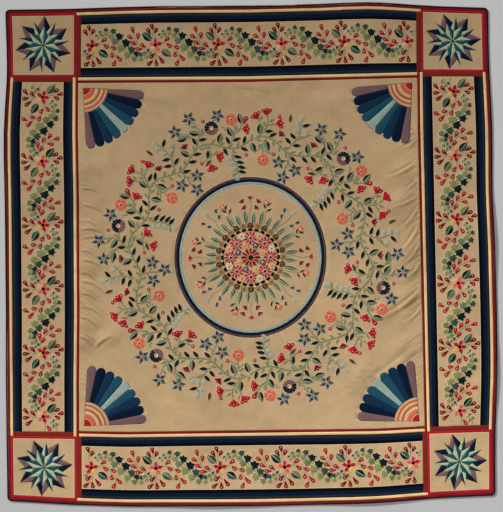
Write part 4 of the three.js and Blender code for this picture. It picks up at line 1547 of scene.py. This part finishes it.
def fan_blades(corner):
    """The blades and heel bands of one corner fan."""
    inlays = Inlays()
    sign_x, sign_y = CORNERS[corner][:2]
    middle_x, middle_y = sign_x * (SEAM_X - FAN["inset"]), sign_y * (SEAM_Y - FAN["inset"])

    def at(reach, angle):
        px, py = polar(reach, angle)
        return (middle_x - sign_x * px, middle_y - sign_y * py)

    first, turn = FAN["first"], FAN["last"] - FAN["first"]
    step = turn / FAN["blades"]
    foot = FAN["heel"] + FOOT_OUT
    for k, wool in enumerate(BLADE_WOOLS):
        start = first + step * k
        angles = [start + step * (TIP_FROM + TIP_SHARE * i / TIP_STEPS) for i in range(TIP_STEPS + 1)]
        tip = [at(fan_reach(a) - BLADE_INSET, a) for a in angles]
        outline = [at(foot, start + FOOT_GAP), *tip, at(foot, start + step - FOOT_GAP)]
        inlays.add_bare(outline, wool, BLADE_CROWN)
    angles = [first + 1 + (turn - 2) * i / BAND_STEPS for i in range(BAND_STEPS + 1)]
    for inner, outer, wool in HEEL_BANDS:
        outline = [at(outer * MM, a) for a in angles] + [at(inner * MM, a) for a in reversed(angles)]
        inlays.add_bare(outline, wool, FLAT_CROWN)
    for k in range(FAN["blades"]):
        edge = [first + step * (k + i / SCALLOP_STEPS) for i in range(SCALLOP_STEPS + 1)]
        chain_stitch(inlays, [at(fan_reach(a) - STITCH_INSET, a) for a in edge], "ecru", *FAN_LINK)
    row = [at(HEEL_ROW, first + turn * i / SCALLOP_STEPS) for i in range(SCALLOP_STEPS + 1)]
    chain_stitch(inlays, row, "ecru", *FAN_LINK)
    return inlays.make(f"fan_blades_{corner}", cut=True)


# Stitches along the seams. A row stays this far from its seam, and widths of links in millimetres

ROW_INSET = 1.8 * MM
STRIP_STITCH, RING_STITCH, SQUARE_STITCH = 2.2, 1.8, 2
STRIP_POINTS, RING_POINTS = 25, 48


def seam_cords(side):
    """Chain stitch along both edges of one flowered strip."""
    inlays = Inlays()
    sign = 1 if side in ("right", "top") else -1
    half = HALF_WIDTH if is_upright(side) else HALF_LENGTH
    for depth in (FLOWERS + ROW_INSET, INNER_BAND - ROW_INSET):
        across = sign * (half - depth)
        path = [(at, across) for at in np.linspace(*strip_ends(side), STRIP_POINTS)]
        if is_upright(side):
            path = [(x, y) for y, x in path]
        chain_stitch(inlays, path, "ecru", STRIP_STITCH)
    return inlays.make(f"seam_cord_{side}")


def ring_cords():
    """Chain stitch inside and outside the ring."""
    inlays = Inlays()
    for inwards in (RING_DEPTH + ROW_INSET, -ROW_INSET):
        width, height = RING["half_width"] - inwards, RING["half_height"] - inwards
        turns = [2 * math.pi * k / RING_POINTS for k in range(RING_POINTS + 1)]
        path = [(RING["x"] + width * math.cos(turn), RING["y"] + height * math.sin(turn)) for turn in turns]
        chain_stitch(inlays, path, "ecru", RING_STITCH)
    return inlays.make("ring_cord")


def square_cord(corner):
    """Chain stitch inside one corner square's frame."""
    inlays = Inlays()
    (x, y), (across, up) = square_in(corner)
    across, up = across - ROW_INSET, up - ROW_INSET
    corners = [(x + i * across, y + j * up) for i, j in ((-1, -1), (1, -1), (1, 1), (-1, 1))]
    for start, end in zip(corners, corners[1:] + corners[:1]):
        chain_stitch(inlays, [start, end], "ecru", SQUARE_STITCH)
    return inlays.make(f"square_cord_{corner}")


# Operators

SIDES = ("top", "bottom", "left", "right")
END_BARS = (
    "top_left", "top_right", "bottom_left", "bottom_right",
    "left_top", "left_bottom", "right_top", "right_bottom",
)  # fmt: skip
# The panel's lines along it and the binding's lines, as shares of a mesh cell
PANEL_CELL, BINDING_CELL = 0.4, 2
# How the binding's edges are rounded
BINDING_ROUND, BINDING_SEGMENTS, BINDING_ANGLE = 0.8 * MM, 2, math.radians(50)
# Strips beside the flowers: wool, and a second name for that wool
STRIPS = {
    "outer_cream": ("cream", "cream_wool"),
    "outer_band": ("navy", "navy_wool"),
    "flower_strip": ("beige", "beige_wool"),
    "inner_band": ("navy", "navy_wool"),
    "inner_cream": ("cream", "cream_wool"),
    "inner_red": ("madder", "madder_wool"),
    "outer_red": ("madder", "madder_wool"),
}


class TABLECLOTH_OT_lay_field(Operator):
    """Lay the centre panel, and the disc and ring that are let into it"""

    bl_idname = "tablecloth.lay_field"
    bl_label = "Centre panel and ring"

    def execute(self, context):
        fine = even_lines(context.scene.tablecloth_sizes.cell * PANEL_CELL)
        lay_sheet("centre_panel", finish_of("beige"), lines=(panel_lines(), fine))
        lay_sheet("medallion_disc", finish_of("beige"))
        for band, wool in (("mauve", "plum"), ("navy", "navy"), ("sky", "sky")):
            lay_sheet(f"ring_{band}", finish_of(wool))
        return {"FINISHED"}


class TABLECLOTH_OT_lay_borders(Operator):
    """Lay the strips and bands of the four borders"""

    bl_idname = "tablecloth.lay_borders"
    bl_label = "Border strips"

    def execute(self, context):
        for side in SIDES:
            for kind, (wool, slot) in STRIPS.items():
                band = kind.endswith("band")
                measure = band_depth(kind, side) if band else None
                lay_sheet(f"{kind}_{side}", striped_band() if band else finish_of(wool), measure)
        for place_name in END_BARS:
            lay_sheet(f"end_bar_{place_name}", finish_of("russet"))
        return {"FINISHED"}


class TABLECLOTH_OT_lay_corners(Operator):
    """Lay the corner squares with their frames and stars, and the corner fans"""

    bl_idname = "tablecloth.lay_corners"
    bl_label = "Corner squares and fans"

    def execute(self, context):
        for corner in CORNERS:
            lay_sheet(f"square_{corner}", finish_of("beige"))
            lay_sheet(f"frame_{corner}", finish_of("scarlet"))
            lay_sheet(f"star_{corner}", finish_of("navy"))
            lay_sheet(f"patch_{corner}", finish_of("indigo"))
        return {"FINISHED"}


class TABLECLOTH_OT_bind_edge(Operator):
    """Bind the edge of the cloth with dark braid"""

    bl_idname = "tablecloth.bind_edge"
    bl_label = "Edge binding"

    def execute(self, context):
        lines = [even_lines(BINDING_CELL * context.scene.tablecloth_sizes.cell)] * 2
        binding = lay_sheet("edge_binding", finish_of("braid"), rolled=False, lines=lines)
        rounding = binding.modifiers.new("rounded_edges", "BEVEL")
        rounding.width, rounding.segments = BINDING_ROUND, BINDING_SEGMENTS
        rounding.limit_method, rounding.angle_limit = "ANGLE", BINDING_ANGLE
        return {"FINISHED"}


class TABLECLOTH_OT_inlay_borders(Operator):
    """Inlay the flowers, leaves and buds of the four borders"""

    bl_idname = "tablecloth.inlay_borders"
    bl_label = "Border flowers"

    def execute(self, context):
        for side in SIDES:
            border_flowers(side)
        return {"FINISHED"}


class TABLECLOTH_OT_inlay_wreath(Operator):
    """Inlay the wreath round the ring"""

    bl_idname = "tablecloth.inlay_wreath"
    bl_label = "Wreath"

    def execute(self, context):
        wreath()
        return {"FINISHED"}


class TABLECLOTH_OT_inlay_posy(Operator):
    """Inlay the posy in the middle of the disc"""

    bl_idname = "tablecloth.inlay_posy"
    bl_label = "Posy"

    def execute(self, context):
        posy()
        return {"FINISHED"}


class TABLECLOTH_OT_inlay_corners(Operator):
    """Inlay the facets of the corner stars and the blades of the corner fans"""

    bl_idname = "tablecloth.inlay_corners"
    bl_label = "Star facets and fan blades"

    def execute(self, context):
        for corner in CORNERS:
            star_facets(corner)
            fan_blades(corner)
        return {"FINISHED"}


class TABLECLOTH_OT_stitch_seams(Operator):
    """Work chain stitch along the seams of the flowered strips, the squares and the ring"""

    bl_idname = "tablecloth.stitch_seams"
    bl_label = "Seam stitching"

    def execute(self, context):
        for side in SIDES:
            seam_cords(side)
        for corner in CORNERS:
            square_cord(corner)
        ring_cords()
        return {"FINISHED"}


class TABLECLOTH_OT_record_cuts(Operator):
    """Does nothing: no cut sizes are recorded"""

    bl_idname = "tablecloth.record_cuts"
    bl_label = "Cut sizes"

    def execute(self, context):
        return {"FINISHED"}


# The floor reaches far past the cloth, in metres, so that low views don't show its edge near the cloth
FLOOR_REACH = 60
FLOOR_DROP = 0.3 * MM
CAMERA_HEIGHT = 6
VIEW_MIDDLE = (3.5 * MM, -4.9 * MM)
VIEW_HEIGHT = 1.792
SENSOR_HEIGHT = 36
# The key light rakes across the cloth: where it comes from, its width in degrees, watts a square metre
KEY_LIGHT = {"at": (-9.3, 8.4, 5.4), "width": 9, "strength": 3.3}
# Softboxes: name, place, size, watts
SOFTBOXES = (
    ("fill_light", (5.4, -4.4, 5.2), 4.0, 60),
    ("top_light", (0, 0, 6.5), 4.0, 90),
)
SKY_STRENGTH = 0.1
PAPER_COLOUR = "#D2D2D2"


def hang_lamp(light, at):
    """Adds a light that points at the middle of the cloth."""
    lamp = bpy.data.objects.new(light.name, light)
    lamp.location = at
    lamp.rotation_euler = Vector(at).to_track_quat("Z", "Y").to_euler()
    bpy.context.scene.collection.objects.link(lamp)


class TABLECLOTH_OT_set_stage(Operator):
    """Set out the pale floor, the studio lights and the camera straight above the cloth"""

    bl_idname = "tablecloth.set_stage"
    bl_label = "Floor, lights and camera"

    def execute(self, context):
        scene = context.scene
        bm = bmesh.new()
        bmesh.ops.create_grid(bm, x_segments=1, y_segments=1, size=FLOOR_REACH)
        bmesh.ops.translate(bm, verts=bm.verts[:], vec=(0, 0, -FLOOR_DROP))
        mesh = bpy.data.meshes.new("studio_floor")
        bm.to_mesh(mesh)
        bm.free()
        mesh.materials.append(matte_paper("paper_backdrop", linear(PAPER_COLOUR)))
        floor = bpy.data.objects.new("studio_floor", mesh)
        scene.collection.objects.link(floor)
        for name, at, size, watts in SOFTBOXES:
            softbox = bpy.data.lights.new(name, "AREA")
            softbox.energy, softbox.size = watts, size
            hang_lamp(softbox, at)
        key = bpy.data.lights.new("key_light", "SUN")
        key.energy, key.angle = KEY_LIGHT["strength"], math.radians(KEY_LIGHT["width"])
        hang_lamp(key, KEY_LIGHT["at"])
        world = bpy.data.worlds.new("studio")
        world.use_nodes = True
        sky = world.node_tree.nodes["Background"].inputs
        sky["Strength"].default_value, sky["Color"].default_value = SKY_STRENGTH, (1, 1, 1, 1)
        scene.world = world
        scene.view_settings.view_transform = "Standard"
        lens = bpy.data.cameras.new("camera")
        lens.sensor_fit, lens.sensor_height = "VERTICAL", SENSOR_HEIGHT
        lens.lens = SENSOR_HEIGHT * CAMERA_HEIGHT / VIEW_HEIGHT
        camera = bpy.data.objects.new("camera", lens)
        camera.location = (*VIEW_MIDDLE, CAMERA_HEIGHT)
        scene.collection.objects.link(camera)
        scene.camera = camera
        return {"FINISHED"}


STEPS = (
    TABLECLOTH_OT_set_stage,
    TABLECLOTH_OT_lay_field,
    TABLECLOTH_OT_lay_borders,
    TABLECLOTH_OT_lay_corners,
    TABLECLOTH_OT_bind_edge,
    TABLECLOTH_OT_inlay_borders,
    TABLECLOTH_OT_inlay_wreath,
    TABLECLOTH_OT_inlay_posy,
    TABLECLOTH_OT_inlay_corners,
    TABLECLOTH_OT_stitch_seams,
    TABLECLOTH_OT_record_cuts,
)


class TABLECLOTH_PT_panel(Panel):
    """Sizes, dyes and steps of the tablecloth"""

    bl_idname = "TABLECLOTH_PT_panel"
    bl_label = "Tablecloth"
    bl_space_type = "VIEW_3D"
    bl_region_type = "UI"
    bl_category = "Tablecloth"

    def draw(self, context):
        for settings in (context.scene.tablecloth_sizes, context.scene.tablecloth_dyes):
            box = self.layout.box()
            for name in settings.__annotations__:
                box.prop(settings, name)
        for step in STEPS:
            self.layout.operator(step.bl_idname)


CLASSES = (TableclothDyes, TableclothSizes, *STEPS, TABLECLOTH_PT_panel)


def register():
    for cls in CLASSES:
        bpy.utils.register_class(cls)
    bpy.types.Scene.tablecloth_dyes = PointerProperty(type=TableclothDyes)
    bpy.types.Scene.tablecloth_sizes = PointerProperty(type=TableclothSizes)


def unregister():
    del bpy.types.Scene.tablecloth_sizes
    del bpy.types.Scene.tablecloth_dyes
    for cls in reversed(CLASSES):
        bpy.utils.unregister_class(cls)


def main():
    register()
    for step in STEPS:
        getattr(bpy.ops.tablecloth, step.bl_idname.split(".")[1])()


if __name__ == "__main__":
    main()
